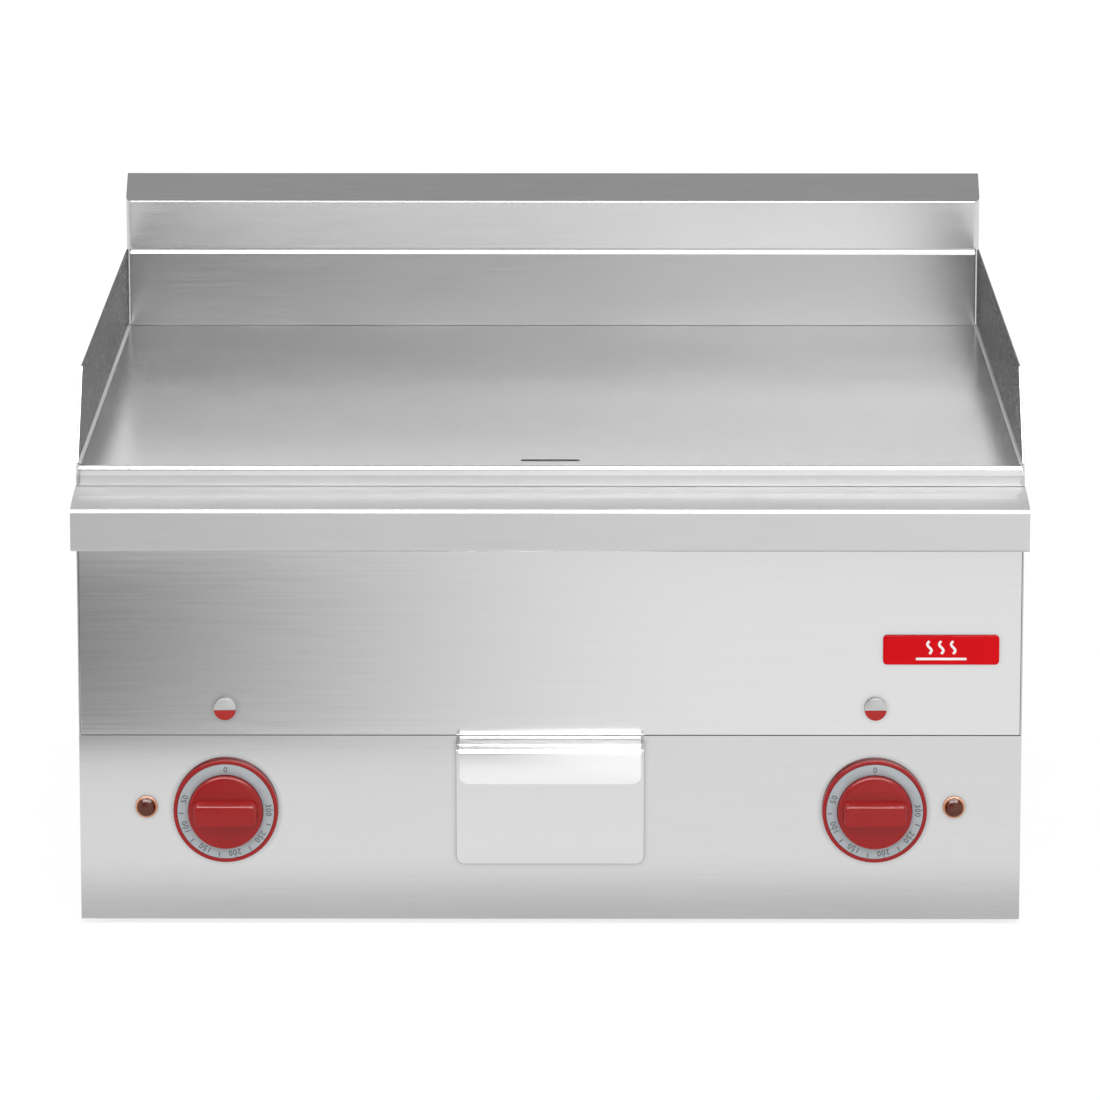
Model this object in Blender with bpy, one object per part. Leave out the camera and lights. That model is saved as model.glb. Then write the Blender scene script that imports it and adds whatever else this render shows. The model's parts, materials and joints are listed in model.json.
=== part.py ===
"""Countertop electric flat top griddle with two heating zones, 600 mm module.

Metres, +Z up. The front faces -Y and +X is the cook's right. The origin is the centre
of the footprint, on the surface that the feet stand on.
"""

import math

import bmesh
import bpy
from mathutils import Vector

# ---------------------------------------------------------------- driving dimensions

GAP = 0.0003                    # clearance kept between neighbouring pieces
TOUCH = 0.0001                  # tolerance for picking edges by their place
CUT = 0.003                     # how far a cutting tool reaches past the sheet it cuts
SIDES = ((-1, "left"), (1, "right"))

HALF_WIDTH = 0.300              # worktop, plate, guards and rear cap
FRONT = -0.300                  # face of the nose
REAR = 0.300                    # back of the rear cap

SKIN = 0.0012                   # casing sheet
CASING_BOTTOM = 0.003
CASING_HALF = 0.299             # outer face of the side panels
CASING_REAR = 0.295
INSIDE_HALF = CASING_HALF - SKIN - GAP  # half width of what fits between the side panels
BEYOND = HALF_WIDTH + 0.010     # clear of every outer face, for cutting tools
PANEL_FACE = -0.264             # front face of the fascia and control panel
PANEL_BACK = PANEL_FACE + SKIN
PANEL_JOINT = 0.1232            # height of the joint between fascia and control panel
SEAM = 0.0002                   # half of the joint's width
PANEL_FOOT_REAR = -0.250        # rear edge of the control panel's foot flange

PLATE_TOP = 0.2938
PLATE_THICK = 0.0128
PLATE_BOTTOM = PLATE_TOP - PLATE_THICK
PLATE_FRONT = -0.247
PLATE_REAR = 0.2745
PLATE_NOSE_RADIUS = 0.0045

WORKTOP_SHEET = 0.0015
WORKTOP_TOP = PLATE_BOTTOM - GAP
WORKTOP_DROP = 0.005            # fall of the front margin from the plate to the nose
NOSE_BOTTOM = PLATE_TOP - 0.0445
NOSE_RETURN = -0.2665           # where the fold under the nose ends
RAIL_INNER = -0.236             # inner edge of the rail that the plate's front rests on

GUARD_THICK = 0.0015
GUARD_HEIGHT = 0.0534
GUARD_FOOT = -0.239             # front end of a guard at the plate
GUARD_KINK = -0.189             # where its top edge turns down
SPLASH_FACE = 0.268             # front face of the back splash wall
SPLASH_HALF = 0.2966
SPLASH_BEND = 0.003

CAP_FRONT = PLATE_REAR + GAP
CAP_LIP_TOP = PLATE_TOP + 0.0872
CAP_TOP = PLATE_TOP + 0.1037

REAR_PANEL = 0.262              # inset, so that the cable gland stays inside the footprint
BASE_BOTTOM = 0.012
BASE_TOP = 0.030
BASE_FLOOR = BASE_BOTTOM + SKIN

FOOT_X = 0.240
FOOT_Y = 0.215
FOOT_RADIUS = 0.020
FOOT_STUD_RADIUS = 0.004

KNOB_X = 0.206
KNOB_Z = 0.0746
SKIRT_RADIUS = 0.0332
DIAL_RADIUS = 0.0307
KNOB_BODY_RADIUS = 0.0235
SHAFT_RADIUS = 0.003
SHAFT_REAR = -0.2565            # where the shaft starts, inside the thermostat
THERMOSTAT_BOSS = 0.0062
THERMOSTAT_FRONT = -0.2585
THERMOSTAT_REAR = -0.2320
THERMOSTAT_HALF = (0.021, 0.020)    # half width and half height

RED_LAMP_Z = 0.1407
AMBER_LAMP_X = 0.2565
AMBER_LAMP_Z = 0.0765
LAMP_RADIUS = 0.007
LAMP_SHANK = 0.0053

BADGE_CENTRE = (0.2472, 0.179)
BADGE_SIZE = (0.0735, 0.019)

DRAWER_HALF = 0.0595            # front plate
DRAWER_BOTTOM = 0.0395
DRAWER_TOP = 0.1200
DRAWER_CUT = (0.0545, 0.0420, 0.1125)   # half width, bottom and top of the panel cut-out
TRAY_HALF = 0.052
TRAY_BOTTOM = 0.0445
TRAY_TOP = 0.108
TRAY_REAR = 0.033
HANDLE_HALF = 0.0575
HANDLE_TOP = 0.1215
HANDLE_BOTTOM = 0.0988
HANDLE_FACE = -0.2955

SLOT_Y = -0.228                 # drain slot in the plate
SLOT_SIZE = (0.038, 0.007)
CHUTE_SIZE = (0.046, 0.0134)
CHUTE_WALL = 0.0012
CHUTE_BOTTOM = 0.1135

ELEMENT_RADIUS = 0.004
ELEMENT_Z = PLATE_BOTTOM - GAP - ELEMENT_RADIUS
ELEMENT_RUNS = (0.055, 0.115, 0.175, 0.235)
ELEMENT_FRONT = -0.190
ELEMENT_BACK = 0.240
ELEMENT_LEG = -0.224
PRESS_TOP = ELEMENT_Z - ELEMENT_RADIUS - GAP
INSULATION_TOP = PRESS_TOP - SKIN - GAP
INSULATION_BOTTOM = 0.2455
SHIELD_SHEET = 0.0008
SHIELD_BOTTOM = INSULATION_BOTTOM - GAP - SHIELD_SHEET
STUD_PLACES = ((0.145, -0.080), (0.145, 0.140))
STUD_RADIUS = 0.004
CAPILLARY_RADIUS = 0.0012
BULB_FRONT = -0.200             # where the tube widens into its bulb

GLAND_PLACE = (0.200, 0.070)
GLAND_SHANK = 0.0100
BOND_PLACE = (0.140, 0.060)
BOND_SHANK = 0.0030

# ---------------------------------------------------------------- materials

FINISHES = {
    "satin_steel": ((0.62, 0.62, 0.62), 0.32, 1.0),
    "polished_plate": ((0.72, 0.72, 0.72), 0.16, 1.0),
    "galvanised": ((0.50, 0.52, 0.53), 0.50, 1.0),
    "dark_steel": ((0.16, 0.15, 0.15), 0.45, 1.0),
    "copper": ((0.72, 0.42, 0.28), 0.35, 1.0),
    "red_plastic": ((0.52, 0.03, 0.035), 0.35, 0.0),
    "dial_print": ((0.33, 0.36, 0.38), 0.45, 0.3),
    "red_lens": ((0.70, 0.05, 0.04), 0.10, 0.0),
    "amber_lens": ((0.75, 0.25, 0.04), 0.10, 0.0),
    "badge_red": ((0.70, 0.01, 0.02), 0.15, 0.0),
    "black_plastic": ((0.03, 0.03, 0.03), 0.50, 0.0),
    "cream_plastic": ((0.70, 0.67, 0.58), 0.50, 0.0),
    "rubber": ((0.02, 0.02, 0.02), 0.80, 0.0),
    "fibre_blanket": ((0.80, 0.78, 0.74), 0.95, 0.0),
    "brass": ((0.75, 0.58, 0.26), 0.30, 1.0),
}


def finish(name):
    """The Principled material of this name, made the first time it is asked for."""
    material = bpy.data.materials.get(name)
    if material is None:
        colour, roughness, metallic = FINISHES[name]
        material = bpy.data.materials.new(name)
        material.use_nodes = True
        shader = material.node_tree.nodes["Principled BSDF"]
        shader.inputs["Base Color"].default_value = (*colour, 1.0)
        shader.inputs["Roughness"].default_value = roughness
        shader.inputs["Metallic"].default_value = metallic
    return material


# ---------------------------------------------------------------- shape helpers


def place(name, shape, material, location=(0, 0, 0), parent=None, smooth=None):
    """Turn a bmesh into a named object with its material, and shade it smooth if asked."""
    bmesh.ops.recalc_face_normals(shape, faces=shape.faces)
    mesh = bpy.data.meshes.new(name)
    shape.to_mesh(mesh)
    shape.free()
    if smooth:
        mesh.shade_smooth()
        mesh.set_sharp_from_angle(angle=math.radians(smooth))
    mesh.materials.append(finish(material))
    piece = bpy.data.objects.new(name, mesh)
    piece.location = location
    piece.parent = parent
    bpy.context.scene.collection.objects.link(piece)
    return piece


def pivot(name, location):
    """An empty on a joint's axis, which the moving pieces are parented to."""
    empty = bpy.data.objects.new(name, None)
    empty.location = location
    bpy.context.scene.collection.objects.link(empty)
    return empty


def add_box(shape, low, high):
    """Add an axis-aligned box to a bmesh and return its vertices."""
    size = [high[i] - low[i] for i in range(3)]
    centre = [(high[i] + low[i]) / 2 for i in range(3)]
    corners = bmesh.ops.create_cube(shape, size=1.0)["verts"]
    bmesh.ops.scale(shape, vec=size, verts=corners)
    bmesh.ops.translate(shape, vec=centre, verts=corners)
    return corners


def block(name, low, high, material, radius=0.0, steps=1, **options):
    """A solid box with all its edges rounded by radius."""
    shape = bmesh.new()
    add_box(shape, low, high)
    if radius:
        round_edges(shape, lambda edge: True, radius, steps)
    return place(name, shape, material, **options)


def round_edges(shape, wanted, radius, steps):
    """Round the edges for which wanted(edge) is true."""
    edges = [edge for edge in shape.edges if wanted(edge)]
    bmesh.ops.bevel(
        shape, geom=edges, offset=radius, segments=steps, profile=0.5,
        affect="EDGES", clamp_overlap=True,
    )


def middle(edge):
    """Middle point of an edge."""
    return (edge.verts[0].co + edge.verts[1].co) / 2


def runs_along(edge, axis):
    """Whether an edge lies along axis 0, 1 or 2."""
    step = edge.verts[0].co - edge.verts[1].co
    return abs(step[axis]) > 0.999 * step.length


def tray(name, low, high, wall, material, open_side=(0, 0, 1), **options):
    """A folded pan: a box with one open side and walls of one thickness."""
    shape = bmesh.new()
    add_box(shape, low, high)
    shape.normal_update()
    mouth = [face for face in shape.faces if face.normal.dot(Vector(open_side)) > 0.9]
    bmesh.ops.inset_region(shape, faces=mouth, thickness=wall)
    axis = max(range(3), key=lambda i: abs(open_side[i]))
    depth = high[axis] - low[axis] - wall
    floor = bmesh.ops.extrude_discrete_faces(shape, faces=mouth)["faces"]
    corners = {corner for face in floor for corner in face.verts}
    bmesh.ops.translate(shape, vec=Vector(open_side) * -depth, verts=list(corners))
    return place(name, shape, material, **options)


def prism(shape, outline, axis, start, end):
    """Add a prism to a bmesh: an outline in the two axes other than axis, extruded along it."""
    others = [i for i in range(3) if i != axis]
    corners = []
    for point in outline:
        place_at = [0.0, 0.0, 0.0]
        place_at[axis] = start
        place_at[others[0]], place_at[others[1]] = point
        corners.append(shape.verts.new(place_at))
    cap = shape.faces.new(corners)
    far = bmesh.ops.extrude_face_region(shape, geom=[cap])["geom"]
    travel = Vector((0, 0, 0))
    travel[axis] = end - start
    moved = [item for item in far if isinstance(item, bmesh.types.BMVert)]
    bmesh.ops.translate(shape, vec=travel, verts=moved)


def extruded(name, outline, axis, start, end, material, **options):
    """A named prism."""
    shape = bmesh.new()
    prism(shape, outline, axis, start, end)
    return place(name, shape, material, **options)


def turned(shape, profile, centre, axis, sides, closed=False):
    """Add a body turned about axis 1 or 2 through centre; profile is (radius, height) points.

    An open profile starts and ends on the axis. A closed one is a ring's section.
    """
    rings = []
    for radius, height in profile:
        ring = []
        for step in range(sides if radius else 1):
            angle = 2 * math.pi * step / sides
            across = (radius * math.cos(angle), radius * math.sin(angle))
            local = (across[0], height, across[1]) if axis == 1 else (*across, height)
            ring.append(shape.verts.new([centre[i] + local[i] for i in range(3)]))
        rings.append(ring)
    pairs = list(zip(rings, rings[1:]))
    if closed:
        pairs.append((rings[-1], rings[0]))
    for lower, upper in pairs:
        for step in range(sides):
            ahead = (step + 1) % sides
            if len(lower) == 1:
                shape.faces.new((lower[0], upper[step], upper[ahead]))
            elif len(upper) == 1:
                shape.faces.new((lower[step], lower[ahead], upper[0]))
            else:
                shape.faces.new((lower[step], lower[ahead], upper[ahead], upper[step]))


def lathe(name, profile, axis, sides, material, closed=False, **options):
    """A named turned body, turned about its own origin."""
    shape = bmesh.new()
    turned(shape, profile, (0, 0, 0), axis, sides, closed)
    return place(name, shape, material, smooth=40, **options)


def filleted(points, radius, steps=6):
    """A path through the points with every corner rounded to an arc of this radius."""
    points = [Vector(point) for point in points]
    path = [points[0]]
    for before, corner, after in zip(points, points[1:], points[2:]):
        back = (before - corner).normalized()
        ahead = (after - corner).normalized()
        half = back.angle(ahead) / 2
        centre = corner + (back + ahead).normalized() * radius / math.sin(half)
        start = corner + back * radius / math.tan(half) - centre
        end = corner + ahead * radius / math.tan(half) - centre
        path += [
            centre + start.slerp(end, step / steps).normalized() * radius
            for step in range(steps + 1)
        ]
    return path + [points[-1]]


def swept(shape, path, radii, sides):
    """Add a round bar along a path, with a radius for each of its points."""
    rings = []
    side = None
    for index, point in enumerate(path):
        ahead = path[min(index + 1, len(path) - 1)]
        behind = path[max(index - 1, 0)]
        along = (ahead - behind).normalized()
        if side is None:
            side = along.orthogonal().normalized()
        side = (side - along * side.dot(along)).normalized()
        other = along.cross(side)
        ring = []
        for step in range(sides):
            angle = 2 * math.pi * step / sides
            offset = side * math.cos(angle) + other * math.sin(angle)
            ring.append(shape.verts.new(point + offset * radii[index]))
        rings.append(ring)
    for lower, upper in zip(rings, rings[1:]):
        for step in range(sides):
            ahead = (step + 1) % sides
            shape.faces.new((lower[step], lower[ahead], upper[ahead], upper[step]))
    shape.faces.new(rings[0])
    shape.faces.new(rings[-1])


def bar(name, path, radius, sides, material, **options):
    """A named round bar of one radius."""
    shape = bmesh.new()
    swept(shape, path, [radius] * len(path), sides)
    return place(name, shape, material, smooth=40, **options)


def with_tool(piece, shape, operation, label):
    """Add a Boolean modifier whose tool is the given bmesh; the tool itself isn't a part."""
    bmesh.ops.recalc_face_normals(shape, faces=shape.faces)
    mesh = bpy.data.meshes.new(label)
    shape.to_mesh(mesh)
    shape.free()
    tool = bpy.data.objects.new(label, mesh)
    tool.hide_render = True
    tool.display_type = "WIRE"
    tool.location = piece.location
    tool.parent = piece.parent
    bpy.context.scene.collection.objects.link(tool)
    modifier = piece.modifiers.new(label, "BOOLEAN")
    modifier.operation = operation
    modifier.solver = "EXACT"
    modifier.object = tool
    return piece


def drill(piece, places, radius, axis, start, end, sides=24):
    """Cut round holes through a piece at places given in the two axes other than axis."""
    shape = bmesh.new()
    for place_at in places:
        circle = [
            (
                place_at[0] + radius * math.cos(2 * math.pi * step / sides),
                place_at[1] + radius * math.sin(2 * math.pi * step / sides),
            )
            for step in range(sides)
        ]
        prism(shape, circle, axis, start, end)
    return with_tool(piece, shape, "DIFFERENCE", f"{piece.name}_drill_{len(piece.modifiers)}")


def slot(piece, boxes):
    """Cut rectangular openings through a piece."""
    shape = bmesh.new()
    for low, high in boxes:
        add_box(shape, low, high)
    return with_tool(piece, shape, "DIFFERENCE", f"{piece.name}_slots_{len(piece.modifiers)}")


def arc(centre, radius, start, end, steps):
    """Points along a circular arc, angles in degrees."""
    return [
        (
            centre[0] + radius * math.cos(math.radians(start + (end - start) * step / steps)),
            centre[1] + radius * math.sin(math.radians(start + (end - start) * step / steps)),
        )
        for step in range(steps + 1)
    ]


def rounded_rectangle(low, high, radii, steps=5):
    """Outline of a rectangle; radii are for its corners, anticlockwise from the lower left."""
    corners = (
        (low[0] + radii[0], low[1] + radii[0], 180),
        (high[0] - radii[1], low[1] + radii[1], 270),
        (high[0] - radii[2], high[1] - radii[2], 0),
        (low[0] + radii[3], high[1] - radii[3], 90),
    )
    outline = []
    for (across, up, turn), radius in zip(corners, radii):
        if radius:
            outline += arc((across, up), radius, turn, turn + 90, steps)
        else:
            outline.append((across, up))
    return outline


# ---------------------------------------------------------------- top


def margin_height(depth):
    """Height of the worktop's front margin, which curves down from the plate to the nose."""
    run = max(0.0, (PLATE_FRONT - depth) / (PLATE_FRONT - FRONT))
    return WORKTOP_TOP - WORKTOP_DROP * run ** 2


def worktop():
    """Front rail, margin and nose, pressed from one sheet, hollow and open to the rear."""
    bend = 0.002
    steps = 8
    margin = [PLATE_FRONT + (FRONT + bend - PLATE_FRONT) * step / steps for step in range(steps + 1)]
    crease = margin_height(FRONT) - bend
    outline = [(RAIL_INNER, WORKTOP_TOP)]
    outline += [(depth, margin_height(depth)) for depth in margin]
    outline += arc((FRONT + bend, crease), bend, 100, 180, 4)[1:]
    outline += arc((FRONT + bend, NOSE_BOTTOM + bend), bend, 180, 270, 4)
    outline += [(NOSE_RETURN, NOSE_BOTTOM), (NOSE_RETURN, WORKTOP_TOP - WORKTOP_SHEET)]
    outline += [(RAIL_INNER, WORKTOP_TOP - WORKTOP_SHEET)]
    piece = extruded("worktop_front", outline, 0, -HALF_WIDTH, HALF_WIDTH, "satin_steel")

    inner = FRONT + WORKTOP_SHEET
    mouth = NOSE_RETURN + 0.002     # past the fold, so that the hollow is open to the rear
    roof_clearance = 0.0004
    ceiling = [depth for depth in margin if inner < depth < NOSE_RETURN]
    hollow = [(inner, NOSE_BOTTOM + WORKTOP_SHEET), (inner, crease)]
    hollow += [(depth, margin_height(depth) - WORKTOP_SHEET) for depth in reversed(ceiling)]
    hollow += [(mouth, margin_height(NOSE_RETURN) - WORKTOP_SHEET - roof_clearance)]
    hollow += [(mouth, NOSE_BOTTOM + WORKTOP_SHEET)]
    shape = bmesh.new()
    prism(shape, hollow, 0, -HALF_WIDTH + WORKTOP_SHEET, HALF_WIDTH - WORKTOP_SHEET)
    with_tool(piece, shape, "DIFFERENCE", "worktop_hollow")


def griddle_plate():
    """Thick cooking plate with a bull-nosed front edge and a drain slot behind it."""
    corner = 0.003
    shape = bmesh.new()
    add_box(
        shape,
        (-HALF_WIDTH, PLATE_FRONT, PLATE_BOTTOM),
        (HALF_WIDTH, PLATE_REAR, PLATE_TOP),
    )

    def front_corner(edge):
        return middle(edge).y < PLATE_FRONT + TOUCH and runs_along(edge, 2)

    def front_top(edge):
        return middle(edge).z > PLATE_TOP - TOUCH and middle(edge).y < PLATE_FRONT + corner + TOUCH

    round_edges(shape, front_corner, corner, 4)
    round_edges(shape, front_top, PLATE_NOSE_RADIUS, 5)
    piece = place("griddle_plate", shape, "polished_plate", smooth=30)
    length, width = (size / 2 for size in SLOT_SIZE)
    end_radius = width * 0.98
    ends = rounded_rectangle(
        (-length, SLOT_Y - width), (length, SLOT_Y + width), [end_radius] * 4, 4
    )
    shape = bmesh.new()
    prism(shape, ends, 2, PLATE_BOTTOM - CUT, PLATE_TOP + CUT)
    with_tool(piece, shape, "DIFFERENCE", "drain_slot")


def splash_guards():
    """Left and right guards standing on the plate's edges."""
    foot = PLATE_TOP + GAP
    crown = PLATE_TOP + GUARD_HEIGHT
    outline = [(GUARD_FOOT, foot), (GUARD_KINK, crown), (PLATE_REAR, crown), (PLATE_REAR, foot)]
    edge_radius = 0.0004

    def worn_edge(edge):
        above_foot = middle(edge).z > foot + TOUCH
        return above_foot and middle(edge).y < PLATE_REAR - TOUCH and not runs_along(edge, 0)

    for side, label in SIDES:
        faces = sorted((side * (HALF_WIDTH - GUARD_THICK), side * HALF_WIDTH))
        shape = bmesh.new()
        prism(shape, outline, 0, *faces)
        round_edges(shape, worn_edge, edge_radius, 1)
        place(f"splash_guard_{label}", shape, "satin_steel")


def splash_back():
    """Back wall between the guards, its top edge bent back to the rear cap."""
    crown = PLATE_TOP + GUARD_HEIGHT
    bend = (SPLASH_FACE + SPLASH_BEND, crown - SPLASH_BEND)
    outline = [(SPLASH_FACE, PLATE_TOP + GAP)]
    outline += arc(bend, SPLASH_BEND, 180, 90, 6)
    outline += [(PLATE_REAR, crown), (PLATE_REAR, crown - SKIN)]
    outline += arc(bend, SPLASH_BEND - SKIN, 90, 180, 6)
    outline += [(SPLASH_FACE + SKIN, PLATE_TOP + GAP)]
    extruded("splash_back", outline, 0, -SPLASH_HALF, SPLASH_HALF, "satin_steel")


def rear_cap():
    """Upright hollow box across the back, with a sloping top, open at the bottom."""
    foot = WORKTOP_TOP + GAP
    corner = 0.004
    bend = 0.002
    end_wall = 0.0035               # thicker than the sheet, to stay closed behind the corners
    shape = bmesh.new()
    outline = [(CAP_FRONT, foot), (CAP_FRONT, CAP_LIP_TOP), (REAR, CAP_TOP), (REAR, foot)]
    prism(shape, outline, 0, -HALF_WIDTH, HALF_WIDTH)

    def front_corner(edge):
        return middle(edge).y < CAP_FRONT + TOUCH and runs_along(edge, 2)

    def long_top(edge):
        return middle(edge).z > CAP_LIP_TOP - TOUCH and runs_along(edge, 0)

    round_edges(shape, front_corner, corner, 4)
    round_edges(shape, long_top, bend, 4)
    piece = place("rear_cap", shape, "satin_steel", smooth=30)
    hollow = [
        (CAP_FRONT + SKIN, foot - CUT),
        (CAP_FRONT + SKIN, CAP_LIP_TOP - SKIN * 1.4),
        (REAR - SKIN, CAP_TOP - SKIN * 1.9),
        (REAR - SKIN, foot - CUT),
    ]
    shape = bmesh.new()
    prism(shape, hollow, 0, -HALF_WIDTH + end_wall, HALF_WIDTH - end_wall)
    with_tool(piece, shape, "DIFFERENCE", "rear_cap_hollow")


# ---------------------------------------------------------------- casing


def side_panels():
    """C-section side panels; the plate's long edges rest on their top flanges."""
    flange = 0.014
    inner = CASING_HALF - SKIN
    outline = [
        (CASING_HALF - flange, WORKTOP_TOP), (CASING_HALF, WORKTOP_TOP),
        (CASING_HALF, CASING_BOTTOM), (CASING_HALF - flange, CASING_BOTTOM),
        (CASING_HALF - flange, CASING_BOTTOM + SKIN), (inner, CASING_BOTTOM + SKIN),
        (inner, WORKTOP_TOP - SKIN), (CASING_HALF - flange, WORKTOP_TOP - SKIN),
    ]
    notch_floor = WORKTOP_TOP - WORKTOP_SHEET - GAP
    for side, label in SIDES:
        mirrored = [(side * across, up) for across, up in outline]
        piece = extruded(
            f"side_panel_{label}", mirrored, 1, PANEL_BACK + GAP, CASING_REAR, "satin_steel"
        )
        ends = sorted((side * (CASING_HALF - flange - CUT), side * BEYOND))
        slot(piece, [((ends[0], FRONT, notch_floor), (ends[1], RAIL_INNER + GAP, PLATE_TOP))])


def base_pan():
    """Bottom pan with holes for the feet and two rows of air slots."""
    setback = 0.001
    piece = tray(
        "base_pan",
        (-INSIDE_HALF, PANEL_BACK + setback, BASE_BOTTOM),
        (INSIDE_HALF, REAR_PANEL - setback, BASE_TOP),
        SKIN, "galvanised",
    )
    feet = [(across, along) for across in (-FOOT_X, FOOT_X) for along in (-FOOT_Y, FOOT_Y)]
    under, over = BASE_BOTTOM - CUT, BASE_FLOOR + CUT
    drill(piece, feet, FOOT_STUD_RADIUS + GAP, 2, under, over, 16)
    half_width, half_length = 0.003, 0.020
    slot(piece, [
        (
            (across - half_width, row - half_length, under),
            (across + half_width, row + half_length, over),
        )
        for row in (-0.050, 0.020)
        for across in (-0.180, -0.110, 0.110, 0.180)
    ])


def rear_panel():
    """Inset rear panel with a top rail, vent slots, and holes for the gland and bonding stud."""
    foot = 0.006
    rail = WORKTOP_TOP - SKIN
    rail_front, rail_rear = 0.2500, 0.2955
    outline = [
        (REAR_PANEL, foot), (REAR_PANEL + SKIN, foot), (REAR_PANEL + SKIN, rail),
        (rail_rear, rail), (rail_rear, WORKTOP_TOP), (rail_front, WORKTOP_TOP),
        (rail_front, rail), (REAR_PANEL, rail),
    ]
    piece = extruded("rear_panel", outline, 0, -INSIDE_HALF, INSIDE_HALF, "galvanised")
    corner = 0.2845                 # the rail stops here, inside the side panels' flanges
    low, high = rail - 0.001, PLATE_TOP
    before, behind = rail_front - CUT, rail_rear + CUT
    slot(piece, [
        ((-BEYOND, before, low), (-corner, behind, high)),
        ((corner, before, low), (BEYOND, behind, high)),
    ])
    inside, outside = REAR_PANEL - CUT, REAR_PANEL + SKIN + CUT
    half_length, half_height = 0.022, 0.0025
    slot(piece, [
        (
            (centre - half_length, inside, row - half_height),
            (centre + half_length, outside, row + half_height),
        )
        for row in (0.160, 0.176, 0.192)
        for centre in (-0.18, -0.09, 0.0, 0.09, 0.18)
    ])
    drill(piece, [GLAND_PLACE], GLAND_SHANK + GAP, 1, inside, outside)
    drill(piece, [BOND_PLACE], BOND_SHANK + GAP, 1, inside, outside, 12)


def upper_fascia():
    """Upper front sheet under the nose, with holes for the two red lamps."""
    half = 0.2976
    top = 0.262                     # hidden behind the nose
    piece = block(
        "upper_fascia", (-half, PANEL_FACE, PANEL_JOINT + SEAM), (half, PANEL_BACK, top),
        "satin_steel",
    )
    lamps = [(side * KNOB_X, RED_LAMP_Z) for side, _ in SIDES]
    drill(piece, lamps, LAMP_SHANK + GAP, 1, PANEL_FACE - CUT, PANEL_BACK + CUT)


def control_panel():
    """Lower front sheet: knob, lamp and drawer openings, and a flange along its foot."""
    foot = CASING_BOTTOM
    top = PANEL_JOINT - SEAM
    outline = [
        (PANEL_FACE, foot), (PANEL_FACE, top), (PANEL_BACK, top),
        (PANEL_BACK, foot + SKIN), (PANEL_FOOT_REAR, foot + SKIN), (PANEL_FOOT_REAR, foot),
    ]
    half = 0.2988
    piece = extruded("control_panel", outline, 0, -half, half, "satin_steel")
    corner = 0.2845                 # the flange stops here, inside the side panels' flanges
    notch = (PANEL_BACK + GAP / 2, PANEL_FOOT_REAR + CUT)
    notch_top = foot + SKIN + CUT
    slot(piece, [
        ((-BEYOND, notch[0], foot - CUT), (-corner, notch[1], notch_top)),
        ((corner, notch[0], foot - CUT), (BEYOND, notch[1], notch_top)),
    ])
    depth = (PANEL_FACE - CUT, PANEL_BACK + CUT)
    knobs = [(side * KNOB_X, KNOB_Z) for side, _ in SIDES]
    lamps = [(side * AMBER_LAMP_X, AMBER_LAMP_Z) for side, _ in SIDES]
    drill(piece, knobs, THERMOSTAT_BOSS + 0.0008, 1, *depth)
    drill(piece, lamps, LAMP_SHANK + GAP, 1, *depth)
    half, bottom, top = DRAWER_CUT
    slot(piece, [((-half, depth[0], bottom), (half, depth[1], top))])


def badge():
    """Rounded plate stuck on the fascia."""
    (across, up), (width, height) = BADGE_CENTRE, BADGE_SIZE
    corner = 0.0025
    outline = rounded_rectangle(
        (across - width / 2, up - height / 2), (across + width / 2, up + height / 2), [corner] * 4
    )
    face = PANEL_FACE - 0.0022
    rim_radius = 0.0009

    def rim(edge):
        return middle(edge).y < face + TOUCH and not runs_along(edge, 1)

    shape = bmesh.new()
    prism(shape, outline, 1, PANEL_FACE - GAP, face)
    round_edges(shape, rim, rim_radius, 2)
    place("badge", shape, "badge_red", smooth=30)


def feet():
    """Four low rubber feet with studs through the base pan."""
    taper = 0.002
    seat = BASE_BOTTOM - GAP
    stud_top = 0.021
    profile = [
        (0, 0), (FOOT_RADIUS - taper, 0), (FOOT_RADIUS, taper), (FOOT_RADIUS - taper, seat),
        (FOOT_STUD_RADIUS, seat), (FOOT_STUD_RADIUS, stud_top), (0, stud_top),
    ]
    for along, end in ((-FOOT_Y, "front"), (FOOT_Y, "rear")):
        for across, side in ((-FOOT_X, "left"), (FOOT_X, "right")):
            lathe(f"foot_{end}_{side}", profile, 2, 20, "rubber", location=(across, along, 0))


# ---------------------------------------------------------------- controls


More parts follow.
